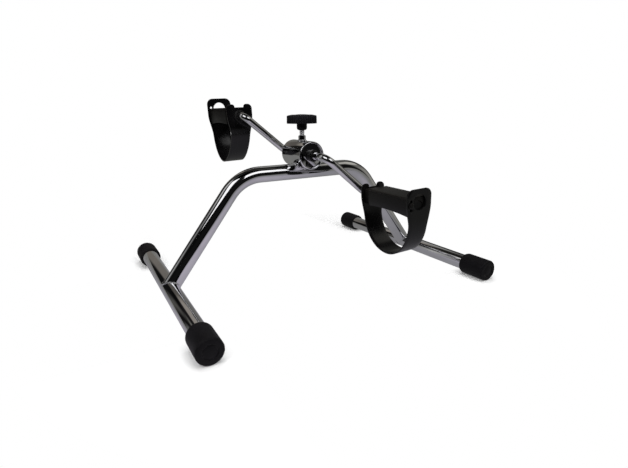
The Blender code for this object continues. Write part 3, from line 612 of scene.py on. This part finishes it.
head_profile = [(PEG_HEAD, 0.0004), (PEG_HEAD - PEG_HEAD_EDGE, 0.0012)]
head_profile += [(0.7 * PEG_HEAD, 0.0019), (0.3 * PEG_HEAD, 0.0022)]
peg_rows += [(radius, head_low + height) for radius, height in head_profile]
pedals = []
for depth_name, outward, throw_way in (("near", -1, 1), ("far", 1, -1)):
    spindle = axle_point + throw_way * throw + outward * PEDAL_INNER * out
    mirror = Matrix.Diagonal((1.0, outward, 1.0, 1.0))
    pedals.append((depth_name, Matrix.Translation(spindle) @ Matrix.Rotation(PEDAL_SWING, 4, "Y") @ mirror))
body_plastic = moulded_finish("pedal_body_plastic", (0.0042, 0.0038, 0.0036), (0.0066, 0.006, 0.0056),
                              smooth=0.36, rough=0.46)
for depth_name, pedal_place in pedals:
    body = draw_outline(f"{depth_name}_pedal_body_moulded", neck_outline, BODY_START)
    pull((0.0, BEAM_START - BODY_START, 0.0))
    bpy.ops.mesh.extrude_region_move()
    bpy.ops.transform.resize(value=(1 / neck_x, 1.0, 1 / neck_z),
                             center_override=(0.0, BEAM_START, body_middle))
    pull((0.0, BODY_END - BEAM_START, 0.0))
    leave_edit()
    chord = BODY_END - BODY_START - 2 * SAG_LAND
    sag_radius = chord * chord / (8 * SAG) + SAG / 2
    sag_axis = Matrix.Translation((0.0, (BODY_START + BODY_END) / 2, BODY_LOW + SAG - sag_radius))
    cut(body, sag_radius, SAG_CUT_HALF, sag_axis @ Matrix.Rotation(math.pi / 2, 4, "Y"), SAG_SIDES)
    round_edges(body, BODY_EDGE, segments=3)
    cut(body, BODY_BORE, BODY_END, along_y)
    cut(body, PLUG_BORE, PLUG_RECESS, Matrix.Translation((0.0, BODY_END, 0.0)) @ along_y)
    peg = turn_on_lathe("peg", peg_rows, PEG_SIDES)
    settle(peg, Matrix.Translation((PEG_OFFSET, 0.0, PEG_RISE)) @ along_y)
    apply_modifier(body, "Peg", "BOOLEAN", operation="UNION", solver="EXACT", object=peg)
    bpy.data.objects.remove(peg)
    settle(body, pedal_place)
    fit(body, body_plastic, depth_name + "_pedal", "pedal_plastic", f"{depth_name}_pedal_body")


# Inner bushes. A black nylon bush with a thin flange lines each body and spaces it off the crank arm.
# The flange lies on the strap's inner plate.
SPINDLE_BORE = 0.0063
SPINDLE_BORE_DEPTH = 0.026
INNER_BUSH_RADIUS = 0.0073
INNER_BUSH_END = 0.0294
INNER_FLANGE = 0.0098
INNER_FLANGE_BACK = -0.0014
INNER_FLANGE_FACE = -0.0026
flange_edge = INNER_FLANGE_FACE + BUSH_EDGE
bush_rows = [(SPINDLE_BORE, SPINDLE_BORE_DEPTH), (SPINDLE_BORE, flange_edge)]
bush_rows += [(SPINDLE_BORE + BUSH_EDGE, INNER_FLANGE_FACE), (INNER_FLANGE - BUSH_EDGE, INNER_FLANGE_FACE)]
bush_rows += [(INNER_FLANGE, flange_edge), (INNER_FLANGE, INNER_FLANGE_BACK)]
bush_rows += [(INNER_BUSH_RADIUS, INNER_FLANGE_BACK), (INNER_BUSH_RADIUS, INNER_BUSH_END)]
for depth_name, pedal_place in pedals:
    bush = turn_on_lathe(f"{depth_name}_inner_bush_nylon", bush_rows, BUSH_SIDES)
    settle(bush, pedal_place @ along_y)
    fit(bush, black_nylon, depth_name + "_pedal", "bush_nylon", f"{depth_name}_inner_bush")


# Foot straps. One wide band of flexible black plastic hangs in a loop under each body.
# Its inner plate has two ears and an axle hole, and its outer tab buttons over the peg by a row of holes.
def strap_finish(name):
    """Satin black plastic band with faint lengthwise streaks and scuffs."""
    material, tree, shader, place = start_finish(name, (0.004, 0.0037, 0.004), 0.22, 0.0)
    shader.inputs["Specular IOR Level"].default_value = 0.42
    scuff = grain(tree, place, scale=38.0, detail=6.0)
    worn = tinted(tree, scuff, (0.0026, 0.0024, 0.0027), (0.0048, 0.0045, 0.005))
    tree.links.new(worn, shader.inputs["Base Color"])
    tree.links.new(between(tree, scuff, low=0.17, high=0.29), shader.inputs["Roughness"])
    streak = grain(tree, place, scale=700.0, detail=2.0, stretch=(1.0, 0.05, 0.05))
    leather = grain(tree, place, scale=420.0, detail=3.0)
    roughen(tree, shader, [(leather, 0.05, 0.0003), (streak, 0.06, 0.0001)])
    return material


STRAP_THICKNESS = 0.0022
PLATE_HALF = 0.022
LEG_HALF = 0.0166
TAPER_TOP = 0.002
TAPER_LOW = -0.033
LEG_DROP = 0.016
STRAP_DEPTH = 0.0777
LOW_POINT = 0.0575
INNER_CURL = 0.42
OUTER_CURL = 0.72
LOW_CURL = 0.45
SLACK_DROP = 0.0012
SLACK_SHIFT = 0.005
SLACK_CURL = 0.33
EAR_TOP = 0.0192
EAR_CORNER = 0.0075
EAR_ROUND = 0.0045
NOTCH_HALF = 0.008
NOTCH_FLOOR = 0.0133
TAB_CORNER = 0.0105
TAB_MARGIN = 0.0159
TAB_HOLE = 0.01125
TAB_HOLE_DROP = 0.0025
HOLE_PITCH = 0.006
HOLE_RADIUS = 0.0022
AXLE_HOLE = 0.0076
STRAP_EDGE = 0.0004
STRAP_CUT_HALF = 0.004
STRAP_COLUMNS = 6
TAPER_STEPS = 16
LOOP_STEPS = 40
HOLE_SIDES = 64


def strap_half(height):
    """Give half the band's width, which eases from the plates to the narrower loop."""
    share = min(max((TAPER_TOP - height) / (TAPER_TOP - TAPER_LOW), 0.0), 1.0)
    return PLATE_HALF + (LEG_HALF - PLATE_HALF) * share * share * (3 - 2 * share)


def strap_leg(distance, top, corner):
    """List rows of (distance out, height, half width) down a flat plate with round top corners."""
    rows = []
    for sine, drop in quarter_turn(steps=12):
        rows.append((distance, top - corner * drop, PLATE_HALF - corner * (1 - sine)))
    for k in range(TAPER_STEPS + 1):
        height = TAPER_TOP - (TAPER_TOP + LEG_DROP) * k / TAPER_STEPS
        rows.append((distance, height, strap_half(height)))
    return rows


def strap_loop(distance, curl, low_end):
    """List rows down the hanging curve from a leg to the loop's lowest point."""
    start = Vector((distance, -LEG_DROP))
    start_pull = start + Vector((0.0, curl * (low_end.y + LEG_DROP)))
    low_pull = low_end + Vector((LOW_CURL * (distance - low_end.x), 0.0))
    rows = []
    for k in range(1, LOOP_STEPS + 1):
        share = k / LOOP_STEPS
        rest = 1 - share
        spot = rest ** 3 * start + 3 * rest ** 2 * share * start_pull
        spot += 3 * rest * share ** 2 * low_pull + share ** 3 * low_end
        rows.append((spot.x, spot.y, strap_half(spot.y)))
    return rows


notch_wall = [(NOTCH_HALF, NOTCH_FLOOR)]
for sine, drop in quarter_turn(steps=8):
    notch_wall.append((NOTCH_HALF + EAR_ROUND * drop, EAR_TOP - EAR_ROUND * (1 - sine)))
notch_wall.append((NOTCH_HALF + EAR_ROUND, EAR_TOP + EAR_ROUND))
notch_outline = notch_wall + [(-x, height) for x, height in reversed(notch_wall)]
strap_plastic = strap_finish("strap_plastic")
for (depth_name, pedal_place), slack in zip(pedals, (1, 0)):
    first_hole = PEG_RISE + (2 - slack) * HOLE_PITCH
    low_end = Vector((LOW_POINT - slack * SLACK_SHIFT, -STRAP_DEPTH - slack * SLACK_DROP))
    inner_rows = strap_leg(0.0, EAR_TOP, EAR_CORNER)
    inner_rows += strap_loop(0.0, INNER_CURL + slack * SLACK_CURL, low_end)
    outer_rows = strap_leg(PEDAL_LENGTH, first_hole + TAB_MARGIN, TAB_CORNER)
    outer_rows += strap_loop(PEDAL_LENGTH, OUTER_CURL, low_end)
    strap_rows = inner_rows + outer_rows[-2::-1]
    lengths = len(strap_rows) - 1
    strap = start_piece(f"{depth_name}_strap_band", bpy.ops.mesh.primitive_grid_add,
                        x_subdivisions=STRAP_COLUMNS, y_subdivisions=lengths, size=2.0)
    for vertex in strap.data.vertices:
        distance, height, half = strap_rows[round((vertex.co.y + 1) / 2 * lengths)]
        vertex.co = (vertex.co.x * half, distance, height)
    apply_modifier(strap, "Wall", "SOLIDIFY", thickness=STRAP_THICKNESS, offset=0.0, use_even_offset=True)
    cut(strap, AXLE_HOLE, STRAP_CUT_HALF, along_y)
    tab_plane = Matrix.Translation((0.0, PEDAL_LENGTH, 0.0)) @ along_y
    holes = [(0.0, first_hole - TAB_HOLE_DROP, TAB_HOLE)]
    holes += [(PEG_OFFSET, first_hole - k * HOLE_PITCH, HOLE_RADIUS) for k in range(3)]
    for x, height, radius in holes:
        cut(strap, radius, STRAP_CUT_HALF, Matrix.Translation((x, 0.0, height)) @ tab_plane, HOLE_SIDES)
    notch = draw_outline("notch", notch_outline, -STRAP_CUT_HALF)
    pull((0.0, 2 * STRAP_CUT_HALF, 0.0))
    leave_edit()
    apply_modifier(strap, "Notch", "BOOLEAN", operation="DIFFERENCE", solver="EXACT", object=notch)
    bpy.data.objects.remove(notch)
    round_edges(strap, STRAP_EDGE)
    settle(strap, pedal_place)
    fit(strap, strap_plastic, depth_name + "_pedal", "strap_plastic", f"{depth_name}_strap")


# Tension screw. A bright zinc-plated M8 rod runs from the knob through the boss to the brake pad.
# Its thread shows between the knob's neck and the boss.
def zinc_finish(name):
    """Bright zinc plate over turned steel, cloudy and a little dull."""
    material, tree, shader, place = start_finish(name, (0.74, 0.74, 0.76), 0.42, 0.5)
    cloud = grain(tree, place, scale=120.0, detail=5.0)
    clouded = tinted(tree, cloud, (0.78, 0.78, 0.81), (0.88, 0.88, 0.90))
    tree.links.new(clouded, shader.inputs["Base Color"])
    tree.links.new(between(tree, cloud, low=0.36, high=0.48), shader.inputs["Roughness"])
    marks = grain(tree, place, scale=1500.0, detail=2.0)
    roughen(tree, shader, [(marks, 0.08, 0.0001)])
    return material


THREAD_PITCH = 0.00125
THREAD_DEPTH = 0.00036
THREAD_START = 0.003
THREAD_STEPS = 40
MERGE_GAP = 0.00001
low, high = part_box("tension_screw")
screw_radius = (high.x - low.x) / 2
thread_turns = int((high.z - low.z - THREAD_START) / THREAD_PITCH)
thread_low = low.z + THREAD_START
screw = start_piece("tension_screw_zinc", bpy.ops.mesh.primitive_grid_add,
                    x_subdivisions=2 * thread_turns, y_subdivisions=1, size=2.0)
bpy.ops.object.mode_set(mode="EDIT")
bpy.ops.mesh.select_all(action="DESELECT")
bpy.ops.object.mode_set(mode="OBJECT")
for vertex in screw.data.vertices:
    vertex.select = vertex.co.y > 0
bpy.ops.object.mode_set(mode="EDIT")
bpy.ops.mesh.delete(type="VERT")
bpy.ops.object.mode_set(mode="OBJECT")
for vertex in screw.data.vertices:
    step = round((vertex.co.x + 1) * thread_turns)
    flank = screw_radius - THREAD_DEPTH * (1 - step % 2)
    vertex.co = (flank, 0.0, thread_low + step * THREAD_PITCH / 2)
apply_modifier(screw, "Thread", "SCREW", axis="Z", steps=THREAD_STEPS, render_steps=THREAD_STEPS,
               screw_offset=-THREAD_PITCH, use_merge_vertices=True, merge_threshold=MERGE_GAP)
bpy.ops.object.mode_set(mode="EDIT")
bpy.ops.mesh.select_all(action="SELECT")
bpy.ops.mesh.remove_doubles(threshold=MERGE_GAP)
bpy.ops.mesh.select_all(action="DESELECT")
bpy.ops.mesh.select_non_manifold()
bpy.ops.mesh.fill_holes(sides=0)
bpy.ops.object.mode_set(mode="OBJECT")
settle(screw, Matrix.Identity(4))
fit(screw, zinc_finish("screw_zinc"), "tension_knob", "zinc_steel", "tension_screw")


# Knob. A flat black moulded hand knob with a finely ribbed rim, moulded round the head of the screw.
# Its neck is tapered at the foot, and its crown has a shallow round panel.
KNOB_RIBS = 40
RIB_PARTS = 4
RIB_DEPTH = 0.0012
RIB_BAND = 0.0007
KNOB_BORE = 0.0042
KNOB_BORE_DEPTH = 0.002
NECK_LENGTH = 0.0105
NECK_RADIUS = 0.00825
NECK_ROUND = 0.004
NECK_FILLET = 0.0006
RIM_EDGE = 0.0003
low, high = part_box("knob")
knob_radius = (high.x - low.x) / 2
knob_low = low.z + NECK_LENGTH
knob_top = high.z
knob_rows = [(KNOB_BORE, low.z + KNOB_BORE_DEPTH), (KNOB_BORE, low.z)]
for sine, drop in quarter_turn(steps=5):
    knob_rows.append((NECK_RADIUS - NECK_ROUND * (1 - sine), low.z + NECK_ROUND * drop))
knob_rows += [(NECK_RADIUS, knob_low - NECK_FILLET), (NECK_RADIUS + NECK_FILLET, knob_low)]
knob_rows += [(knob_radius - RIM_EDGE, knob_low), (knob_radius, knob_low + RIM_EDGE)]
# The rim's rows are (in from the rim, below the top), and the panel's are (radius, below the top).
rim_profile = [(0.0002, 0.0031), (0.0006, 0.0024), (0.0016, 0.0018)]
panel_profile = [(0.0190, 0.0011), (0.0160, 0.0006), (0.0156, 0.0009)]
panel_profile += [(0.0150, 0.0009), (0.0060, 0.0001), (0.0010, 0.0)]
knob_rows += [(knob_radius - inset, knob_top - drop) for inset, drop in rim_profile]
knob_rows += [(radius, knob_top - drop) for radius, drop in panel_profile]
knob_sides = RIB_PARTS * KNOB_RIBS
knob = turn_on_lathe("knob_moulded", knob_rows, knob_sides)
for vertex in knob.data.vertices:
    spot = vertex.co
    radius = math.hypot(spot.x, spot.y)
    place_in_rib = round(math.atan2(spot.y, spot.x) / (2 * math.pi) * knob_sides) % RIB_PARTS
    if radius > knob_radius - RIB_BAND and place_in_rib in (2, 3):
        shrink = (radius - RIB_DEPTH) / radius
        vertex.co = (spot.x * shrink, spot.y * shrink, spot.z)
settle(knob, Matrix.Identity(4))
knob_plastic = moulded_finish("knob_plastic", (0.0058, 0.0055, 0.007), (0.0095, 0.0092, 0.0112),
                              smooth=0.44, rough=0.58)
fit(knob, knob_plastic, "tension_knob", "knob_plastic", "knob")


# Small fittings. Collars, push nuts, the brake pad, outer bushes and end plugs keep their solid shapes.
# They sit inside the hub and the pedals, where only the end plugs show, and get the finish of their material.
fitting_zinc = zinc_finish("collar_zinc")
pad_nylon = nylon_finish("nylon_natural", (0.50, 0.47, 0.39), (0.58, 0.55, 0.47))
# The end plugs' black plastic is made darker than the body's, as painted shade in their recess behind the
# strap's tab.
plug_plastic_painted_shade = moulded_finish("plug_plastic_painted_shade", (0.0025, 0.0023, 0.0024), (0.004, 0.0038, 0.0039),
                              smooth=0.40, rough=0.52)
fittings = [("brake_pad", pad_nylon)]
for depth_name in ("near", "far"):
    fittings += [(f"axle_collar_{depth_name}", fitting_zinc), (f"{depth_name}_push_nut", fitting_zinc)]
    fittings += [(f"{depth_name}_outer_bush", black_nylon), (f"{depth_name}_end_plug", plug_plastic_painted_shade)]
for fitting_node, finish in fittings:
    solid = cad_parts[fitting_node]
    solid.data.materials.clear()
    solid.data.materials.append(finish)


# Studio. A white floor that keeps the shadow only close to the caps, a dark room that the chrome mirrors,
# and soft lights. The room and its panels are seen only in reflections, and the background is plain white.
def glow_finish(name, strength):
    """Make a plain glowing white surface."""
    material = bpy.data.materials.new(name)
    material.use_nodes = True
    tree = material.node_tree
    tree.nodes.clear()
    lamp = tree.nodes.new("ShaderNodeEmission")
    lamp.inputs["Color"].default_value = (1.0, 1.0, 1.0, 1.0)
    lamp.inputs["Strength"].default_value = strength
    sheet = tree.nodes.new("ShaderNodeOutputMaterial")
    tree.links.new(lamp.outputs["Emission"], sheet.inputs["Surface"])
    return material


def seen_in_gloss_only(card):
    """Keep a card out of the picture, the light and the shadows, so that only gloss shows it."""
    card.visible_camera = False
    card.visible_diffuse = False
    card.visible_shadow = False
    card.visible_transmission = False


def stand_panel(name, middle, towards, size, strength):
    """Stand a glowing white panel that faces a point."""
    facing = (Vector(towards) - Vector(middle)).normalized()
    panel = start_piece(name, bpy.ops.mesh.primitive_plane_add, size=1.0)
    panel.scale = (*size, 1.0)
    panel.rotation_euler = facing.to_track_quat("Z", "Y").to_euler()
    panel.location = middle
    panel.data.materials.append(glow_finish(name + "_glow", strength))
    seen_in_gloss_only(panel)


def reckon(tree, operation, first, second):
    """Add a Math node on two sockets or plain numbers."""
    step = tree.nodes.new("ShaderNodeMath")
    step.operation = operation
    for entry, value in zip(step.inputs, (first, second)):
        if isinstance(value, float):
            entry.default_value = value
        else:
            tree.links.new(value, entry)
    return step.outputs["Value"]


def ease(tree, value, low, high, low_level, high_level):
    """Run smoothly from one level to another while a value goes from low to high."""
    step = tree.nodes.new("ShaderNodeMapRange")
    step.interpolation_type = "SMOOTHSTEP"
    step.inputs["From Min"].default_value = low
    step.inputs["From Max"].default_value = high
    step.inputs["To Min"].default_value = low_level
    step.inputs["To Max"].default_value = high_level
    tree.links.new(value, step.inputs["Value"])
    return step.outputs["Result"]


def blend_tones(tree, value, tones):
    """Colour a value from 0 to 1 by a list of (position, colour)."""
    ramp = tree.nodes.new("ShaderNodeValToRGB")
    stops = ramp.color_ramp
    for spot, tone in tones[1:-1]:
        stops.elements.new(spot).color = (*tone, 1.0)
    for stop, (spot, tone) in ((stops.elements[0], tones[0]), (stops.elements[-1], tones[-1])):
        stop.position = spot
        stop.color = (*tone, 1.0)
    tree.links.new(value, ramp.inputs["Fac"])
    return ramp.outputs["Color"]


FLOOR_SIZE = 12.0
CONTACT_GLOW = 0.2
SHADOW_ASIDE = (0.19, 0.215)
SHADOW_ALONG = (0.135, 0.16)
SHADOW_REACH = (0.33, 0.44)
MIRROR_MIDDLE = (-0.10, -0.16, 0.0)
MIRROR_REACH = (0.0, 0.60)
MIRROR_SLANT = (0.79, 1.0, 0.0)
MIRROR_FADE = (-0.75, -0.40)
floor = start_piece("studio_floor", bpy.ops.mesh.primitive_plane_add, size=FLOOR_SIZE)
paper = bpy.data.materials.new("floor_paper")
paper.use_nodes = True
floor_tree = paper.node_tree
floor_tree.nodes.clear()
rays = floor_tree.nodes.new("ShaderNodeLightPath")
where = floor_tree.nodes.new("ShaderNodeTexCoord").outputs["Object"]
matt = floor_tree.nodes.new("ShaderNodeBsdfDiffuse")
matt.inputs["Color"].default_value = (0.88, 0.88, 0.88, 1.0)
glow = floor_tree.nodes.new("ShaderNodeEmission")
glow.inputs["Color"].default_value = (1.0, 1.0, 1.0, 1.0)
floor_tree.links.new(rays.outputs["Is Camera Ray"], glow.inputs["Strength"])
reach = floor_tree.nodes.new("ShaderNodeVectorMath")
reach.operation = "LENGTH"
floor_tree.links.new(where, reach.inputs[0])
lift = floor_tree.nodes.new("ShaderNodeMixShader")
spot = floor_tree.nodes.new("ShaderNodeSeparateXYZ")
floor_tree.links.new(where, spot.inputs["Vector"])
aside = reckon(floor_tree, "ABSOLUTE", spot.outputs["X"], 0.0)
bright_middle = ease(floor_tree, aside, *SHADOW_ASIDE, 1.0, CONTACT_GLOW)
bright_round = ease(floor_tree, reach.outputs["Value"], *SHADOW_REACH, CONTACT_GLOW, 1.0)
along = reckon(floor_tree, "ABSOLUTE", spot.outputs["Y"], 0.0)
bright_between = ease(floor_tree, along, *SHADOW_ALONG, 1.0, CONTACT_GLOW)
brightest = reckon(floor_tree, "MAXIMUM", bright_middle, bright_round)
brightest = reckon(floor_tree, "MAXIMUM", brightest, bright_between)
floor_tree.links.new(brightest, lift.inputs["Fac"])
floor_tree.links.new(matt.outputs["BSDF"], lift.inputs[1])
floor_tree.links.new(glow.outputs["Emission"], lift.inputs[2])
# Seen in gloss, the floor glows with painted light: a pale lavender pool round a middle point, greyer further
# out, and painted shade that fades it to dark towards the front left.
away = floor_tree.nodes.new("ShaderNodeVectorMath")
away.operation = "DISTANCE"
away.inputs[1].default_value = MIRROR_MIDDLE
floor_tree.links.new(where, away.inputs[0])
spread = ease(floor_tree, away.outputs["Value"], *MIRROR_REACH, 0.0, 1.0)
tones = [(0.0, (0.46, 0.43, 0.49)), (0.4, (0.29, 0.285, 0.31)), (1.0, (0.20, 0.20, 0.19))]
painted_pool_tone = blend_tones(floor_tree, spread, tones)
slant = floor_tree.nodes.new("ShaderNodeVectorMath")
slant.operation = "DOT_PRODUCT"
slant.inputs[1].default_value = MIRROR_SLANT
floor_tree.links.new(where, slant.inputs[0])
mirrored = floor_tree.nodes.new("ShaderNodeEmission")
floor_tree.links.new(painted_pool_tone, mirrored.inputs["Color"])
lit = ease(floor_tree, slant.outputs["Value"], *MIRROR_FADE, 0.0, 1.0)
floor_tree.links.new(lit, mirrored.inputs["Strength"])
as_seen = floor_tree.nodes.new("ShaderNodeMixShader")
floor_tree.links.new(rays.outputs["Is Glossy Ray"], as_seen.inputs["Fac"])
floor_tree.links.new(lift.outputs["Shader"], as_seen.inputs[1])
floor_tree.links.new(mirrored.outputs["Emission"], as_seen.inputs[2])
sheet = floor_tree.nodes.new("ShaderNodeOutputMaterial")
floor_tree.links.new(as_seen.outputs["Shader"], sheet.inputs["Surface"])
floor.data.materials.append(paper)

ROOM_RADIUS = 4.0
room = start_piece("studio_room", bpy.ops.mesh.primitive_uv_sphere_add, segments=64, ring_count=32,
                   radius=ROOM_RADIUS)
walls = bpy.data.materials.new("room_walls")
walls.use_nodes = True
wall_tree = walls.node_tree
wall_tree.nodes.clear()
split = wall_tree.nodes.new("ShaderNodeSeparateXYZ")
wall_tree.links.new(wall_tree.nodes.new("ShaderNodeTexCoord").outputs["Object"], split.inputs["Vector"])
bearing = reckon(wall_tree, "ARCTAN2", split.outputs["X"], split.outputs["Y"])
round_share = reckon(wall_tree, "MULTIPLY_ADD", bearing, 0.5 / math.pi)
round_share.node.inputs[2].default_value = 0.5
DARK_WALL = (0.006, 0.006, 0.006)
WINDOW = (0.42, 0.42, 0.41)
DOORWAY = (0.09, 0.088, 0.08)
WARM_WALL = (0.16, 0.147, 0.13)
BACK_WALL = (0.16, 0.16, 0.15)
SIDE_WALL = (0.27, 0.265, 0.24)
SHADED_WALL = (0.03, 0.03, 0.028)
wall_plan = [(-180, DARK_WALL), (-82, DARK_WALL), (-58, WINDOW), (-45, DARK_WALL), (-42, DARK_WALL)]
wall_plan += [(-36, DOORWAY), (-28, DARK_WALL), (-14, DARK_WALL), (-8, WARM_WALL), (8, WARM_WALL)]
wall_plan += [(30, BACK_WALL), (42, BACK_WALL), (54, SHADED_WALL), (74, SHADED_WALL), (86, SIDE_WALL)]
wall_plan += [(120, SIDE_WALL), (131, SHADED_WALL), (138, DARK_WALL), (180, DARK_WALL)]
tones = [((degrees + 180) / 360, tone) for degrees, tone in wall_plan]
round_tone = blend_tones(wall_tree, round_share, tones)
rise = reckon(wall_tree, "MULTIPLY", split.outputs["Z"], 1 / ROOM_RADIUS)
rise_plan = [(0.0, 1.0), (0.37, 1.0), (0.46, 0.6), (0.53, 0.6)]
rise_plan += [(0.60, 1.8), (0.82, 1.8), (0.87, 0.15), (1.0, 0.15)]
levels = [(share, (level, level, level)) for share, level in rise_plan]
glow = wall_tree.nodes.new("ShaderNodeEmission")
wall_tree.links.new(round_tone, glow.inputs["Color"])
wall_tree.links.new(blend_tones(wall_tree, rise, levels), glow.inputs["Strength"])
sheet = wall_tree.nodes.new("ShaderNodeOutputMaterial")
wall_tree.links.new(glow.outputs["Emission"], sheet.inputs["Surface"])
room.data.materials.append(walls)
seen_in_gloss_only(room)

HEART = (0.0, 0.0, 0.15)
RIGHT_BOX = (0.29, -1.08, 1.15)
LEFT_BOX = (-0.92, -0.53, 1.21)
RIGHT_BOX_SIZE = (0.80, 0.65)
LEFT_BOX_SIZE = (0.84, 0.83)
BOX_GLOW = 1.3
stand_panel("soft_box_right", RIGHT_BOX, HEART, RIGHT_BOX_SIZE, BOX_GLOW)
stand_panel("soft_box_left", LEFT_BOX, HEART, LEFT_BOX_SIZE, BOX_GLOW)


def hang_lamp(name, middle, towards, size, watts):
    """Hang a soft square lamp that lights the parts and is left out of the gloss."""
    lamp = bpy.data.lights.new(name, "AREA")
    lamp.size = size
    lamp.energy = watts
    holder = bpy.data.objects.new(name, lamp)
    bpy.context.scene.collection.objects.link(holder)
    holder.location = middle
    holder.rotation_euler = (Vector(towards) - Vector(middle)).to_track_quat("-Z", "Y").to_euler()
    holder.visible_glossy = False
    holder.visible_camera = False


LAMP_SIZE = 0.7
LAMP_WATTS = 9.0
TOP_PLACE = (0.0, 0.1, 1.9)
TOP_SIZE = 1.2
TOP_WATTS = 22.0
hang_lamp("right_lamp", RIGHT_BOX, HEART, LAMP_SIZE, LAMP_WATTS)
hang_lamp("left_lamp", LEFT_BOX, HEART, LAMP_SIZE, LAMP_WATTS)
hang_lamp("top_lamp", TOP_PLACE, HEART, TOP_SIZE, TOP_WATTS)

AIR_LIGHT = 0.25
world = bpy.data.worlds.new("studio_air")
bpy.context.scene.world = world
world.use_nodes = True
air_tree = world.node_tree
air_tree.nodes.clear()
rays = air_tree.nodes.new("ShaderNodeLightPath")
seen = reckon(air_tree, "MAXIMUM", rays.outputs["Is Camera Ray"], rays.outputs["Is Glossy Ray"])
seen = reckon(air_tree, "MAXIMUM", seen, rays.outputs["Is Transmission Ray"])
air = air_tree.nodes.new("ShaderNodeBackground")
air.inputs["Color"].default_value = (1.0, 1.0, 1.0, 1.0)
air_tree.links.new(ease(air_tree, seen, 0.0, 1.0, AIR_LIGHT, 1.0), air.inputs["Strength"])
sheet = air_tree.nodes.new("ShaderNodeOutputWorld")
air_tree.links.new(air.outputs["Background"], sheet.inputs["Surface"])
bpy.context.scene.view_settings.view_transform = "Standard"


# Camera. It stands in front and to the left, a little above the knob, as the photograph was taken.
# Its place, aim, roll and lens were solved from the tubes.
CAMERA_PLACE = (-0.3321, -0.6053, 0.2699)
CAMERA_YAW = math.radians(30.231)
CAMERA_PITCH = math.radians(16.511)
CAMERA_ROLL = math.radians(0.5615)
FOCAL_PIXELS = 415.4
PICTURE_WIDTH = 628
level_ahead = Vector((math.sin(CAMERA_YAW), math.cos(CAMERA_YAW), 0.0))
level_right = Vector((math.cos(CAMERA_YAW), -math.sin(CAMERA_YAW), 0.0))
ahead = math.cos(CAMERA_PITCH) * level_ahead - Vector((0.0, 0.0, math.sin(CAMERA_PITCH)))
level_down = ahead.cross(level_right)
picture_right = math.cos(CAMERA_ROLL) * level_right + math.sin(CAMERA_ROLL) * level_down
picture_down = math.cos(CAMERA_ROLL) * level_down - math.sin(CAMERA_ROLL) * level_right
view = bpy.data.cameras.new("photo_camera")
view.sensor_width = 36.0
view.lens = view.sensor_width * FOCAL_PIXELS / PICTURE_WIDTH
view.clip_start = 0.01
camera = bpy.data.objects.new("photo_camera", view)
bpy.context.scene.collection.objects.link(camera)
turned = Matrix((picture_right, -picture_down, -ahead)).transposed().to_4x4()
camera.matrix_world = Matrix.Translation(CAMERA_PLACE) @ turned
bpy.context.scene.camera = camera
